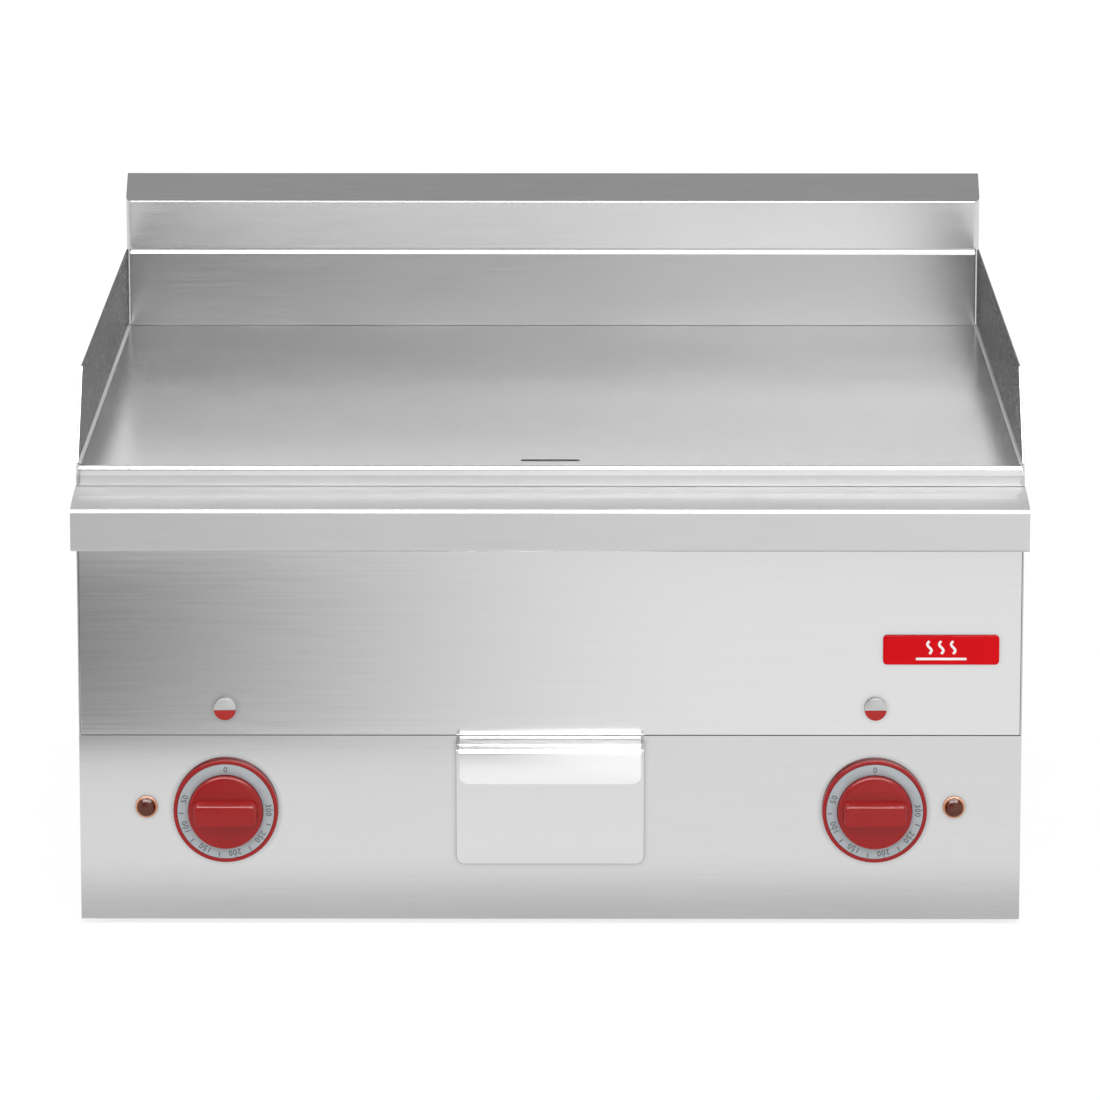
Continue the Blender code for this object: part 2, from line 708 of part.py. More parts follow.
def knob(side):
    """Knob, dial ring and shaft on one axis through the control panel."""
    axis = pivot(f"knob_axis_{side[1]}", (side[0] * KNOB_X, 0, KNOB_Z))
    back = PANEL_FACE - 0.0005
    seat = back - 0.0036
    rim = back - 0.0050
    crown = back - 0.0100
    tip = back - 0.0195             # face of the grip
    bore_end = back - 0.0145
    shaft_end = back - 0.0140
    profile = [
        (0, back), (SKIRT_RADIUS - 0.0006, back), (SKIRT_RADIUS, back - 0.0008),
        (SKIRT_RADIUS - 0.0004, rim + 0.0008), (SKIRT_RADIUS - 0.0012, rim),
        (DIAL_RADIUS + GAP, rim), (DIAL_RADIUS + GAP, seat),
        (KNOB_BODY_RADIUS, seat), (KNOB_BODY_RADIUS - 0.0008, crown + 0.0015),
        (KNOB_BODY_RADIUS - 0.0024, crown), (0, crown),
    ]
    piece = lathe(f"knob_{side[1]}", profile, 1, 40, "red_plastic", parent=axis)
    grip_half, grip_root, grip_tip = 0.0205, 0.0088, 0.0068
    grip_foot = crown + 0.001       # sunk into the body, so that the two join
    grip_taper = 0.95               # its face is this much shorter than its root
    grip_edge = 0.0014
    grip = [(grip_foot, grip_root), (tip, grip_tip), (tip, -grip_tip), (grip_foot, -grip_root)]
    shape = bmesh.new()
    prism(shape, grip, 0, -grip_half, grip_half)
    for corner in shape.verts:
        if corner.co.y < tip + TOUCH:
            corner.co.x *= grip_taper
    round_edges(shape, lambda edge: middle(edge).y < crown, grip_edge, 3)
    with_tool(piece, shape, "UNION", f"knob_grip_{side[1]}")
    shape = bmesh.new()
    bore_radius = SHAFT_RADIUS + GAP
    mouth = back + CUT
    bore = [(0, mouth), (bore_radius, mouth), (bore_radius, bore_end), (0, bore_end)]
    turned(shape, bore, (0, 0, 0), 1, 16)
    with_tool(piece, shape, "DIFFERENCE", f"knob_bore_{side[1]}")

    ring_inner = KNOB_BODY_RADIUS + GAP
    ring_face = rim + 0.0002
    ring = [
        (ring_inner, seat - GAP), (DIAL_RADIUS, seat - GAP),
        (DIAL_RADIUS, ring_face), (ring_inner, ring_face),
    ]
    lathe(f"dial_ring_{side[1]}", ring, 1, 40, "dial_print", closed=True, parent=axis)

    chamfer = 0.0005
    shaft = [
        (0, SHAFT_REAR), (SHAFT_RADIUS - chamfer, SHAFT_REAR), (SHAFT_RADIUS, SHAFT_REAR - chamfer),
        (SHAFT_RADIUS, shaft_end + chamfer), (SHAFT_RADIUS - chamfer, shaft_end), (0, shaft_end),
    ]
    lathe(f"thermostat_shaft_{side[1]}", shaft, 1, 16, "galvanised", parent=axis)


def thermostat(side):
    """Control thermostat behind the panel, and its capillary tube with the sensing bulb."""
    sign, label = side
    across = sign * KNOB_X
    half_width, half_height = THERMOSTAT_HALF
    top = KNOB_Z + half_height
    piece = block(
        f"thermostat_{label}", (across - half_width, THERMOSTAT_FRONT, KNOB_Z - half_height),
        (across + half_width, THERMOSTAT_REAR, top), "cream_plastic", radius=0.0015,
    )
    boss_face = -0.2632
    shape = bmesh.new()
    boss = [
        (0, SHAFT_REAR), (THERMOSTAT_BOSS, SHAFT_REAR), (THERMOSTAT_BOSS, boss_face), (0, boss_face),
    ]
    turned(shape, boss, (across, 0, KNOB_Z), 1, 20)
    with_tool(piece, shape, "UNION", f"thermostat_boss_{label}")
    drill(piece, [(across, KNOB_Z)], SHAFT_RADIUS + GAP, 1, SHAFT_REAR + 0.0005, boss_face - CUT, 16)

    beside = across - sign * 0.014
    outlet, climb, bulb_end = -0.245, -0.228, -0.100    # depths of the tube's upright runs and end
    route = [
        (beside, outlet, top + GAP), (beside, outlet, 0.205), (beside, climb, 0.235),
        (beside, climb, ELEMENT_Z), (beside, bulb_end, ELEMENT_Z),
    ]
    bend, bulb_radius = 0.010, 0.0030
    shape = bmesh.new()
    capillary(shape, route, bend, bulb_radius)
    place(f"sensing_bulb_{label}", shape, "copper", smooth=40)


def capillary(shape, route, bend, bulb_radius):
    """Add a thin tube along a route, whose last straight run under the plate is its bulb."""
    path = filleted(route, bend, 4)
    end = path.pop()
    shoulder = [Vector((end.x, depth, end.z)) for depth in (BULB_FRONT, BULB_FRONT + 0.0015)]
    radii = [CAPILLARY_RADIUS] * (len(path) + 1) + [bulb_radius] * 2
    swept(shape, path + shoulder + [end], radii, 6)


def safety_limiter(side):
    """Over-temperature limiter on the base pan, in one piece with its capillary and bulb."""
    sign, label = side
    across, bulb_x = sign * 0.145, sign * 0.090
    half_width, front, rear = 0.016, -0.155, -0.120
    floor = BASE_FLOOR + GAP
    top = floor + 0.034
    piece = block(
        f"safety_limiter_{label}", (across - half_width, front, floor),
        (across + half_width, rear, top), "black_plastic", radius=0.0012,
    )
    outlet, climb, bulb_end = -0.138, -0.229, -0.110    # depths of the tube's upright runs and end
    crossing = 0.2655               # height at which it runs across to its bulb
    route = [
        (across, outlet, top - 0.003), (across, outlet, 0.150), (across, climb, 0.190),
        (across, climb, crossing), (bulb_x, climb, crossing), (bulb_x, climb, ELEMENT_Z),
        (bulb_x, bulb_end, ELEMENT_Z),
    ]
    bend, bulb_radius = 0.0052, 0.0028
    shape = bmesh.new()
    capillary(shape, route, bend, bulb_radius)
    with_tool(piece, shape, "UNION", f"limiter_capillary_{label}")


def lamp(label, material, across, up):
    """Pilot lamp: lens with a shank through the panel, and its holder behind."""
    face = PANEL_FACE - GAP
    shank_end = PANEL_BACK + 0.0030
    profile = [
        (0, shank_end), (LAMP_SHANK, shank_end), (LAMP_SHANK, face),
        (LAMP_RADIUS, face), (LAMP_RADIUS, face - 0.0024), (LAMP_RADIUS - 0.0016, face - 0.0042),
        (LAMP_RADIUS - 0.0040, face - 0.0052), (0, face - 0.0056),
    ]
    lathe(f"lamp_lens_{label}", profile, 1, 20, material, location=(across, 0, up))
    front = shank_end + GAP
    collar, neck = 0.0072, 0.0052
    holder = [
        (0, front), (collar, front), (collar, front + 0.014), (neck, front + 0.016),
        (neck, front + 0.024), (0, front + 0.024),
    ]
    lathe(f"lamp_holder_{label}", holder, 1, 16, "black_plastic", location=(across, 0, up))


# ---------------------------------------------------------------- heating


def heating_element(side):
    """Tubular element bent into a serpentine, its two cold ends turned down at the front."""
    sign, label = side
    low = ELEMENT_Z - 0.046         # end of the cold legs
    leg_bend = 0.010
    first, second, third, fourth = (sign * run for run in ELEMENT_RUNS)
    route = [
        (first, ELEMENT_LEG, low), (first, ELEMENT_LEG, ELEMENT_Z),
        (first, ELEMENT_BACK, ELEMENT_Z), (second, ELEMENT_BACK, ELEMENT_Z),
        (second, ELEMENT_FRONT, ELEMENT_Z), (third, ELEMENT_FRONT, ELEMENT_Z),
        (third, ELEMENT_BACK, ELEMENT_Z), (fourth, ELEMENT_BACK, ELEMENT_Z),
        (fourth, ELEMENT_LEG, ELEMENT_Z), (fourth, ELEMENT_LEG, low),
    ]
    turns = filleted(route[1:-1], 0.022, 5)
    path = filleted([route[0], route[1], turns[1]], leg_bend, 4)[:-1]
    path += turns[1:-1]
    path += filleted([turns[-2], route[-2], route[-1]], leg_bend, 4)[1:]
    bar(f"heating_element_{label}", path, ELEMENT_RADIUS, 8, "dark_steel")


def press_plate(side):
    """Sheet that presses one element up against the cooking plate."""
    sign, label = side
    ends = sorted((sign * 0.020, sign * 0.270))
    front, rear = -0.205, 0.250
    piece = block(
        f"press_plate_{label}", (ends[0], front, PRESS_TOP - SKIN), (ends[1], rear, PRESS_TOP),
        "galvanised",
    )
    places = [(sign * across, along) for across, along in STUD_PLACES]
    drill(piece, places, STUD_RADIUS + GAP, 2, PRESS_TOP - SKIN - CUT, PRESS_TOP + CUT, 16)


def insulation_and_shield():
    """Fibre blanket under both zones, and the sheet tray that carries it."""
    places = [(sign * across, along) for sign in (-1, 1) for across, along in STUD_PLACES]
    half, front, rear = 0.2765, -0.2090, 0.2555
    blanket = block(
        "insulation_blanket", (-half, front, INSULATION_BOTTOM), (half, rear, INSULATION_TOP),
        "fibre_blanket",
    )
    drill(blanket, places, STUD_RADIUS + GAP, 2, INSULATION_BOTTOM - CUT, INSULATION_TOP + CUT, 16)
    room = 0.0015                   # between the blanket's edge and the outside of the tray
    lip = 0.2680
    shield = tray(
        "heat_shield", (-half - room, front - room, SHIELD_BOTTOM), (half + room, rear + room, lip),
        SHIELD_SHEET, "galvanised",
    )
    drill(shield, places, STUD_RADIUS + GAP, 2, SHIELD_BOTTOM - CUT, SHIELD_BOTTOM + CUT, 16)


def clamp_studs():
    """Studs under the plate that carry the press plates, blanket and shield, with flange nuts."""
    nut = SHIELD_BOTTOM - GAP
    flange_radius, nut_radius = 0.0085, 0.0065
    nut_end, stud_end = nut - 0.0080, nut - 0.0120
    profile = [
        (0, PLATE_BOTTOM - GAP), (STUD_RADIUS, PLATE_BOTTOM - GAP), (STUD_RADIUS, nut),
        (flange_radius, nut), (flange_radius, nut - 0.0015), (nut_radius, nut - 0.0020),
        (nut_radius, nut_end), (STUD_RADIUS, nut_end), (STUD_RADIUS, stud_end), (0, stud_end),
    ]
    for sign, label in SIDES:
        for (across, along), end in zip(STUD_PLACES, ("front", "rear")):
            lathe(
                f"clamp_stud_{end}_{label}", profile, 2, 12, "galvanised",
                location=(sign * across, along, 0),
            )


# ---------------------------------------------------------------- grease drawer


def drain_chute():
    """Rectangular pipe from the plate's drain slot to the drawer."""
    half, deep = (size / 2 for size in CHUTE_SIZE)
    top = PLATE_BOTTOM - GAP
    piece = block(
        "drain_chute", (-half, SLOT_Y - deep, CHUTE_BOTTOM), (half, SLOT_Y + deep, top),
        "satin_steel",
    )
    inner, gap = half - CHUTE_WALL, deep - CHUTE_WALL
    slot(piece, [((-inner, SLOT_Y - gap, CHUTE_BOTTOM - CUT), (inner, SLOT_Y + gap, top + CUT))])


def drawer():
    """Tray, front plate and folded handle, which slide out together."""
    slide = pivot("drawer_slide_axis", (0, PANEL_FACE, TRAY_BOTTOM))
    origin = Vector(slide.location)

    def local(point):
        return tuple(Vector(point) - origin)

    tray(
        "drawer_tray", local((-TRAY_HALF, PANEL_FACE, TRAY_BOTTOM)),
        local((TRAY_HALF, TRAY_REAR, TRAY_TOP)), 0.001, "satin_steel", parent=slide,
    )

    shape = bmesh.new()
    face = PANEL_FACE - GAP - SKIN
    flange = DRAWER_TOP - SKIN
    flange_front = HANDLE_FACE + 0.004
    bend = 0.0008
    outline = [
        (face, DRAWER_BOTTOM), (face, flange - bend), (face - bend, flange),
        (flange_front, flange), (flange_front, DRAWER_TOP), (face + 0.0002, DRAWER_TOP),
        (face + SKIN, DRAWER_TOP - 0.001), (face + SKIN, DRAWER_BOTTOM),
    ]
    prism(shape, outline, 0, -DRAWER_HALF, DRAWER_HALF)

    def lower_corner(edge):
        return middle(edge).z < DRAWER_BOTTOM + TOUCH and runs_along(edge, 1)

    round_edges(shape, lower_corner, 0.005, 5)
    bmesh.ops.translate(shape, vec=-origin, verts=shape.verts)
    place("drawer_front", shape, "satin_steel", parent=slide)

    bend = 0.003
    root = PANEL_FACE - 0.0006      # rear edge of the ledge, just clear of the fascia
    middle_of_bend = (HANDLE_FACE + bend, HANDLE_TOP - bend)
    outline = [(root, HANDLE_TOP)]
    outline += arc(middle_of_bend, bend, 90, 180, 5)
    outline += [(HANDLE_FACE, HANDLE_BOTTOM), (HANDLE_FACE + SKIN, HANDLE_BOTTOM)]
    outline += arc(middle_of_bend, bend - SKIN, 180, 90, 5)
    outline += [(root, HANDLE_TOP - SKIN)]
    shape = bmesh.new()
    prism(shape, outline, 0, -HANDLE_HALF, HANDLE_HALF)

    def lip_corner(edge):
        return middle(edge).z < HANDLE_BOTTOM + TOUCH and runs_along(edge, 1)

    round_edges(shape, lip_corner, 0.006, 5)
    bmesh.ops.translate(shape, vec=-origin, verts=shape.verts)
    place("drawer_handle", shape, "satin_steel", parent=slide)


def drawer_runners():
    """Folded runners on the base pan: a ledge under the tray and a guide beside it."""
    guide = TRAY_HALF + 0.0015
    outer = guide + SKIN
    floor = BASE_FLOOR + GAP
    ledge = TRAY_BOTTOM - GAP
    ledge_inner = guide - 0.012
    foot_outer = outer + 0.014
    guide_top = 0.070
    front, rear = -0.2600, 0.0600
    outline = [
        (guide, floor), (foot_outer, floor), (foot_outer, floor + SKIN), (outer, floor + SKIN),
        (outer, guide_top), (guide, guide_top), (guide, ledge), (ledge_inner, ledge),
        (ledge_inner, ledge - SKIN), (guide, ledge - SKIN),
    ]
    for side, label in SIDES:
        mirrored = [(side * across, up) for across, up in outline]
        extruded(f"drawer_runner_{label}", mirrored, 1, front, rear, "galvanised")


# ---------------------------------------------------------------- electrics


ELECTRICS_FLOOR = BASE_FLOOR + GAP


def terminal_block():
    """Five-way terminal block on the base pan, with a pocket for each wire pair."""
    width, depth, height = (0.170, 0.236), (0.200, 0.228), 0.024
    piece = block(
        "terminal_block", (width[0], depth[0], ELECTRICS_FLOOR),
        (width[1], depth[1], ELECTRICS_FLOOR + height), "cream_plastic", radius=0.001,
    )
    pocket_width, wall, pocket_floor = 0.008, 0.005, ELECTRICS_FLOOR + 0.016
    slot(piece, [
        (
            (left, depth[0] + wall, pocket_floor),
            (left + pocket_width, depth[1] - wall, ELECTRICS_FLOOR + height + 0.006),
        )
        for left in (0.175, 0.187, 0.199, 0.211, 0.223)
    ])


def contactor():
    """Three-pole contactor on the base pan, its front notched above the terminals."""
    width, depth, height = (0.085, 0.130), (0.165, 0.235), 0.062
    piece = block(
        "contactor", (width[0], depth[0], ELECTRICS_FLOOR),
        (width[1], depth[1], ELECTRICS_FLOOR + height), "black_plastic", radius=0.0015,
    )
    notch_width, notch_rear, notch_floor = 0.009, depth[0] + 0.012, ELECTRICS_FLOOR + 0.040
    slot(piece, [
        (
            (left, depth[0] - 0.015, notch_floor),
            (left + notch_width, notch_rear, ELECTRICS_FLOOR + height + 0.008),
        )
        for left in (0.089, 0.103, 0.117)
    ])


def cable_gland():
    """Cable gland through the rear panel: locknut inside, hexagon and dome nut outside."""
    wall = REAR_PANEL
    back = wall + SKIN + GAP
    bore, mouth_radius = 0.0040, 0.0085
    locknut_radius, hexagon_radius, dome_radius = 0.0130, 0.0135, 0.0120
    inside, end = wall - 0.0085, back + 0.0240
    profile = [
        (bore, inside), (locknut_radius, inside), (locknut_radius, wall - GAP),
        (GLAND_SHANK, wall - GAP), (GLAND_SHANK, back), (hexagon_radius, back),
        (hexagon_radius, back + 0.0060), (dome_radius, back + 0.0065),
        (dome_radius, back + 0.0150), (mouth_radius, end), (bore, end),
    ]
    lathe(
        "cable_gland", profile, 1, 18, "black_plastic", closed=True,
        location=(GLAND_PLACE[0], 0, GLAND_PLACE[1]),
    )


def bonding_stud():
    """Equipotential bonding stud with its nut, through the rear panel."""
    back = REAR_PANEL + SKIN + GAP
    inside, end = REAR_PANEL - 0.0100, back + 0.0160
    nut_radius, nut_top = 0.0060, back + 0.0050
    profile = [
        (0, inside), (BOND_SHANK, inside), (BOND_SHANK, back), (nut_radius, back),
        (nut_radius, nut_top), (BOND_SHANK, nut_top), (BOND_SHANK, end), (0, end),
    ]
    lathe("bonding_stud", profile, 1, 12, "brass", location=(BOND_PLACE[0], 0, BOND_PLACE[1]))


def wire_looms():
    """Wires from each thermostat down to the base pan and back to the electrics."""
    radius, bend = 0.0045, 0.014
    low = ELECTRICS_FLOOR + radius
    start, drop = THERMOSTAT_REAR + GAP, -0.200
    lead_in = [(KNOB_X, start, KNOB_Z), (KNOB_X, drop, KNOB_Z), (KNOB_X, drop, low)]
    right = lead_in + [(KNOB_X, 0.200 - GAP, low)]
    bar("wire_loom_right", filleted(right, bend, 5), radius, 8, "rubber")
    crossing, contactor_middle = 0.110, 0.1075
    left = [(-across, along, up) for across, along, up in lead_in]
    left += [
        (-KNOB_X, crossing, low), (contactor_middle, crossing, low),
        (contactor_middle, 0.165 - GAP, low),
    ]
    bar("wire_loom_left", filleted(left, bend, 5), radius, 8, "rubber")


# ---------------------------------------------------------------- assembly

for stale in list(bpy.data.objects):
    bpy.data.objects.remove(stale, do_unlink=True)

worktop()
griddle_plate()
splash_guards()
splash_back()
rear_cap()

side_panels()
base_pan()
rear_panel()
upper_fascia()
control_panel()
badge()
feet()

for each_side in SIDES:
    knob(each_side)
    thermostat(each_side)
    safety_limiter(each_side)
    lamp(f"red_{each_side[1]}", "red_lens", each_side[0] * KNOB_X, RED_LAMP_Z)
    lamp(f"amber_{each_side[1]}", "amber_lens", each_side[0] * AMBER_LAMP_X, AMBER_LAMP_Z)
    heating_element(each_side)
    press_plate(each_side)

insulation_and_shield()
clamp_studs()
drain_chute()
drawer()
drawer_runners()

terminal_block()
contactor()
cable_gland()
bonding_stud()
wire_looms()
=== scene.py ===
# %% [markdown]
# # A countertop griddle, finished
#
# A flat top griddle is mostly folded stainless sheet around one thick polished plate.
# The imported model already holds every solid at its real size and place. This lesson
# adds the looks: brushed and polished metal, moulded controls, printed dials and light.

# %% [markdown]
# ## The model to start from
#
# Loading brings in every solid as its own object. Looks are added here, and sizes never
# change.

# %% Load the model
import json
import math

import bmesh
import bpy
from mathutils import Euler, Matrix, Vector


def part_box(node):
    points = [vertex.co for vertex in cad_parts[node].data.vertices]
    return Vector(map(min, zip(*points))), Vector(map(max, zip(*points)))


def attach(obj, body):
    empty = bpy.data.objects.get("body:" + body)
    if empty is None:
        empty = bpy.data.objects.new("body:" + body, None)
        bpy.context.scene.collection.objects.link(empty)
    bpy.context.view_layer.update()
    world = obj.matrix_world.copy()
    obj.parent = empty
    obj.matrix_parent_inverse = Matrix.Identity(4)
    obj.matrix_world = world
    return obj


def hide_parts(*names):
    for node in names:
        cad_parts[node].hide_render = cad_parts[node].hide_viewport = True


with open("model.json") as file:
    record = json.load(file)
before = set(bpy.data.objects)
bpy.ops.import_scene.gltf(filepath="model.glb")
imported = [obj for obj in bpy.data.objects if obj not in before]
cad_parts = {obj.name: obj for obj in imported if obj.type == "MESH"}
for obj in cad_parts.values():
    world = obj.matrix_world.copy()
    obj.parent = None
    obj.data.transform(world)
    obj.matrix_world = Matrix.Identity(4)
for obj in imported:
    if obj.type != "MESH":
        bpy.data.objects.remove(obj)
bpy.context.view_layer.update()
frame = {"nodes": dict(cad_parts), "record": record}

# %% [markdown]
# ## Small helpers for working by hand
#
# Blender's operators act on whatever is selected, so each step starts by choosing
# exactly one piece, or the faces and edges that lie in a known place. Choosing by place
# keeps working when a size changes, which choosing by index number wouldn't.

# %% Selecting
ALONG_X, TOWARDS_FRONT, UPWARDS = Vector((1, 0, 0)), Vector((0, -1, 0)), Vector((0, 0, 1))
HAIR = 0.00005                      # tolerance for finding faces and edges by place


def only(piece):
    """Make one piece the selected and active one."""
    bpy.ops.object.select_all(action="DESELECT")
    piece.select_set(True)
    bpy.context.view_layer.objects.active = piece
    return piece


def choose_faces(test):
    """In edit mode, select just the faces for which test(face) is true."""
    bpy.ops.mesh.select_all(action="DESELECT")
    bpy.ops.mesh.select_mode(type="FACE")
    mesh = bpy.context.object.data
    shape = bmesh.from_edit_mesh(mesh)
    shape.normal_update()
    for face in shape.faces:
        face.select_set(bool(test(face)))
    bmesh.update_edit_mesh(mesh)


def choose_edges(test):
    """In edit mode, select just the edges for which test(middle, direction) is true."""
    bpy.ops.mesh.select_all(action="DESELECT")
    bpy.ops.mesh.select_mode(type="EDGE")
    mesh = bpy.context.object.data
    shape = bmesh.from_edit_mesh(mesh)
    for edge in shape.edges:
        first, last = (corner.co for corner in edge.verts)
        edge.select_set(bool(test((first + last) / 2, (last - first).normalized())))
    bmesh.update_edit_mesh(mesh)


# %% [markdown]
# A piece keeps its place in its mesh, with the object itself at the origin. Patterns then
# sit still on it, and a Boolean or a bevel works at true size.

# %% Placing and modifying


def place_in_mesh(piece):
    """Move a piece's place, turn and size into its mesh."""
    only(piece)
    bpy.ops.object.transform_apply(location=True, rotation=True, scale=True)
    return piece


def apply_modifier(piece, kind, **settings):
    """Add a modifier, set it and apply it, as the Apply button would."""
    only(piece)
    modifier = piece.modifiers.new(kind.title(), kind)
    for name, value in settings.items():
        setattr(modifier, name, value)
    bpy.ops.object.modifier_apply(modifier=modifier.name)
    return piece


# %% [markdown]
# A turned part, such as a knob's skirt or a lens, starts as a cylinder that faces the
# cook. Its front face is then stepped in and out, as a lathe tool would cut it. A Screw
# modifier on a profile would do as well, but stepping a face shows each shoulder at once.

# %% Turned and boxed blanks


def turned_blank(centre, back, front, radius, sides=96):
    """A cylinder on an axis along Y, its place already in its mesh."""
    bpy.ops.mesh.primitive_cylinder_add(
        vertices=sides, radius=radius, depth=abs(back - front),
        location=(centre.x, (back + front) / 2, centre.z), rotation=(math.pi / 2, 0, 0),
    )
    return place_in_mesh(bpy.context.object)


def step_front(piece, steps):
    """Shape the front face by (inwards, forwards) steps; no inwards step is a straight wall."""
    only(piece)
    bpy.ops.object.mode_set(mode="EDIT")
    front = min((piece.matrix_world @ corner.co).y for corner in piece.data.vertices)
    choose_faces(lambda face: face.calc_center_median().y < front + HAIR)
    for inwards, forwards in steps:
        if inwards:
            bpy.ops.mesh.inset(thickness=inwards, depth=forwards)
        else:
            move = {"value": TOWARDS_FRONT * forwards}
            bpy.ops.mesh.extrude_region_move(TRANSFORM_OT_translate=move)
    bpy.ops.object.mode_set(mode="OBJECT")
    return piece


def box_blank(low, high):
    """A box between two corners, its place already in its mesh."""
    low, high = Vector(low), Vector(high)
    bpy.ops.mesh.primitive_cube_add(size=1, location=(low + high) / 2)
    bpy.context.object.scale = high - low
    return place_in_mesh(bpy.context.object)


def soften(piece, width, segments=3, angle=32):
    """Round every edge that is sharper than the angle."""
    return apply_modifier(
        piece, "BEVEL", width=width, segments=segments, limit_method="ANGLE",
        angle_limit=math.radians(angle), use_clamp_overlap=True,
    )


# %% [markdown]
# Every piece ends the same way: it is named, shaded, given its finish and tied to the
# body it moves with. One function does it, so no piece can miss a step.

# %% Finishing, copying and joining


def finished(piece, name, body, finish, smooth=40):
    """Name a piece, shade it, give it its finish and let it ride on its body."""
    piece.name = piece.data.name = name
    only(piece)
    bpy.ops.object.shade_smooth_by_angle(angle=math.radians(smooth))
    piece.data.materials.clear()
    piece.data.materials.append(finish)
    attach(piece, body)
    print(f"{name}: {len(piece.data.polygons)} faces")
    return piece


def copy_across(piece, shift):
    """A copy with its own mesh, moved by shift."""
    only(piece)
    bpy.ops.object.duplicate(linked=False)
    twin = bpy.context.object
    twin.location = shift
    return place_in_mesh(twin)


def joined(pieces):
    """Join several pieces into one."""
    bpy.ops.object.select_all(action="DESELECT")
    for piece in pieces:
        piece.select_set(True)
    bpy.context.view_layer.objects.active = pieces[0]
    if len(pieces) > 1:
        bpy.ops.object.join()
    return bpy.context.object


# %% [markdown]
# ## Shader maths as ordinary sums
#
# Wiring Math nodes one by one hides the idea behind them. A small class that wraps a
# socket lets a finish be written as a sum, and each sign adds the node that does it.

# %% A socket that can be added up


class Wire:
    """One output socket of a finish. Sums on it add Math nodes to the finish."""

    def __init__(self, finish, socket):
        self.finish = finish
        self.socket = socket

    def maths(self, operation, *values):
        return self.finish.node("ShaderNodeMath", {"operation": operation}, dict(enumerate(values)))

    def __add__(self, other):
        return self.maths("ADD", self, other)

    def __mul__(self, other):
        return self.maths("MULTIPLY", self, other)

    def __sub__(self, other):
        return self.maths("SUBTRACT", self, other)

    def __rsub__(self, other):
        return self.maths("SUBTRACT", other, self)

    __radd__ = __add__
    __rmul__ = __mul__


# %% [markdown]
# A finish starts as a Principled shader. What is the same all over is set on its sockets,
# and what changes over the surface is wired to them by name.

# %% A finish under construction


class Finish:
    """A material under construction, with its Principled shader ready."""

    def __init__(self, name, **uniform):
        self.material = bpy.data.materials.new(name)
        self.material.use_nodes = True
        self.tree = self.material.node_tree
        self.shader = self.tree.nodes["Principled BSDF"]
        for label, value in uniform.items():
            self.shader.inputs[label.replace("_", " ")].default_value = value

    def node(self, kind, settings=None, inputs=None, output=0):
        """Add a node: its settings first, then the values or wires of its sockets."""
        made = self.tree.nodes.new(kind)
        for name, value in (settings or {}).items():
            setattr(made, name, value)
        for name, value in (inputs or {}).items():
            self.feed(made.inputs[name], value)
        return Wire(self, made.outputs[output])

    def feed(self, socket, value):
        if isinstance(value, Wire):
            self.tree.links.new(value.socket, socket)
        else:
            socket.default_value = value

    def drive(self, **varying):
        """Connect what varies over the surface to the shader."""
        for label, value in varying.items():
            self.feed(self.shader.inputs[label.replace("_", " ")], value)
        return self.material

    def noise(self, scale, stretch=(1, 1, 1), detail=2.0, roughness=0.5):
        """Noise in the piece's own space; a small stretch along an axis makes long streaks."""
        space = self.node("ShaderNodeTexCoord", output="Object")
        turned = self.node("ShaderNodeMapping", inputs={"Vector": space, "Scale": stretch})
        return self.node("ShaderNodeTexNoise", inputs={
            "Vector": turned, "Scale": scale, "Detail": detail, "Roughness": roughness,
        })

    def blend(self, share, first, second):
        """A colour between two, by a share from 0 to 1."""
        return self.node("ShaderNodeMix", {"data_type": "RGBA"}, {
            0: share, 6: (*first, 1.0), 7: (*second, 1.0),
        }, output=2)

    def grey(self, level):
        """A neutral colour of this level."""
        parts = dict.fromkeys(("Red", "Green", "Blue"), level)
        return self.node("ShaderNodeCombineColor", inputs=parts)

    def place(self, axis):
        """Where a point lies along X, Y or Z, in metres."""
        space = self.node("ShaderNodeTexCoord", output="Object")
        return self.node("ShaderNodeSeparateXYZ", inputs={"Vector": space}, output=axis)

    def graduated(self, value, start, end):
        """A smooth step from 0 to 1 as the value passes from start to end."""
        return self.node("ShaderNodeMapRange", {"interpolation_type": "SMOOTHSTEP"}, {
            "Value": value, "From Min": start, "From Max": end,
        })

    def openness(self, reach):
        """1 on open sheet, less where something within reach stands over it."""
        return self.node("ShaderNodeAmbientOcclusion", {"samples": 8}, {"Distance": reach},
                         output="AO")

    def height_band(self, bottom, top, kept):
        """kept between the two heights, 1 elsewhere, with a soft millimetre between."""
        up, blur = self.place("Z"), 0.001
        above = self.graduated(up, bottom - blur, bottom)
        below = 1 - self.graduated(up, top, top + blur)
        return 1 - above * below * (1 - kept)

    def bump(self, height, strength, distance):
        """Relief of this depth in metres, at the sockets' usual strength."""
        return self.node("ShaderNodeBump", inputs={
            "Height": height, "Strength": strength, "Distance": distance,
        })


# %% [markdown]
# ## Brushed steel
#
# Sheet for kitchen equipment is ground with a belt, which leaves fine parallel scratches.
# A tiled image of it would repeat. Noise squeezed hard across the grain and left
# long along it never does, and it also drives the roughness, as the real scratches do.

# %% Metals
STREAK = {"x": (0.02, 1, 1), "y": (1, 0.02, 1), "z": (1, 1, 0.02)}
SCRATCH_CONTRAST = 0.07             # how far a scratch's tone strays from the sheet's
SCRATCH_RELIEF = 0.00008
SHADE_REACH = 0.004                 # how close a proud piece stands when it casts painted shade on the sheet
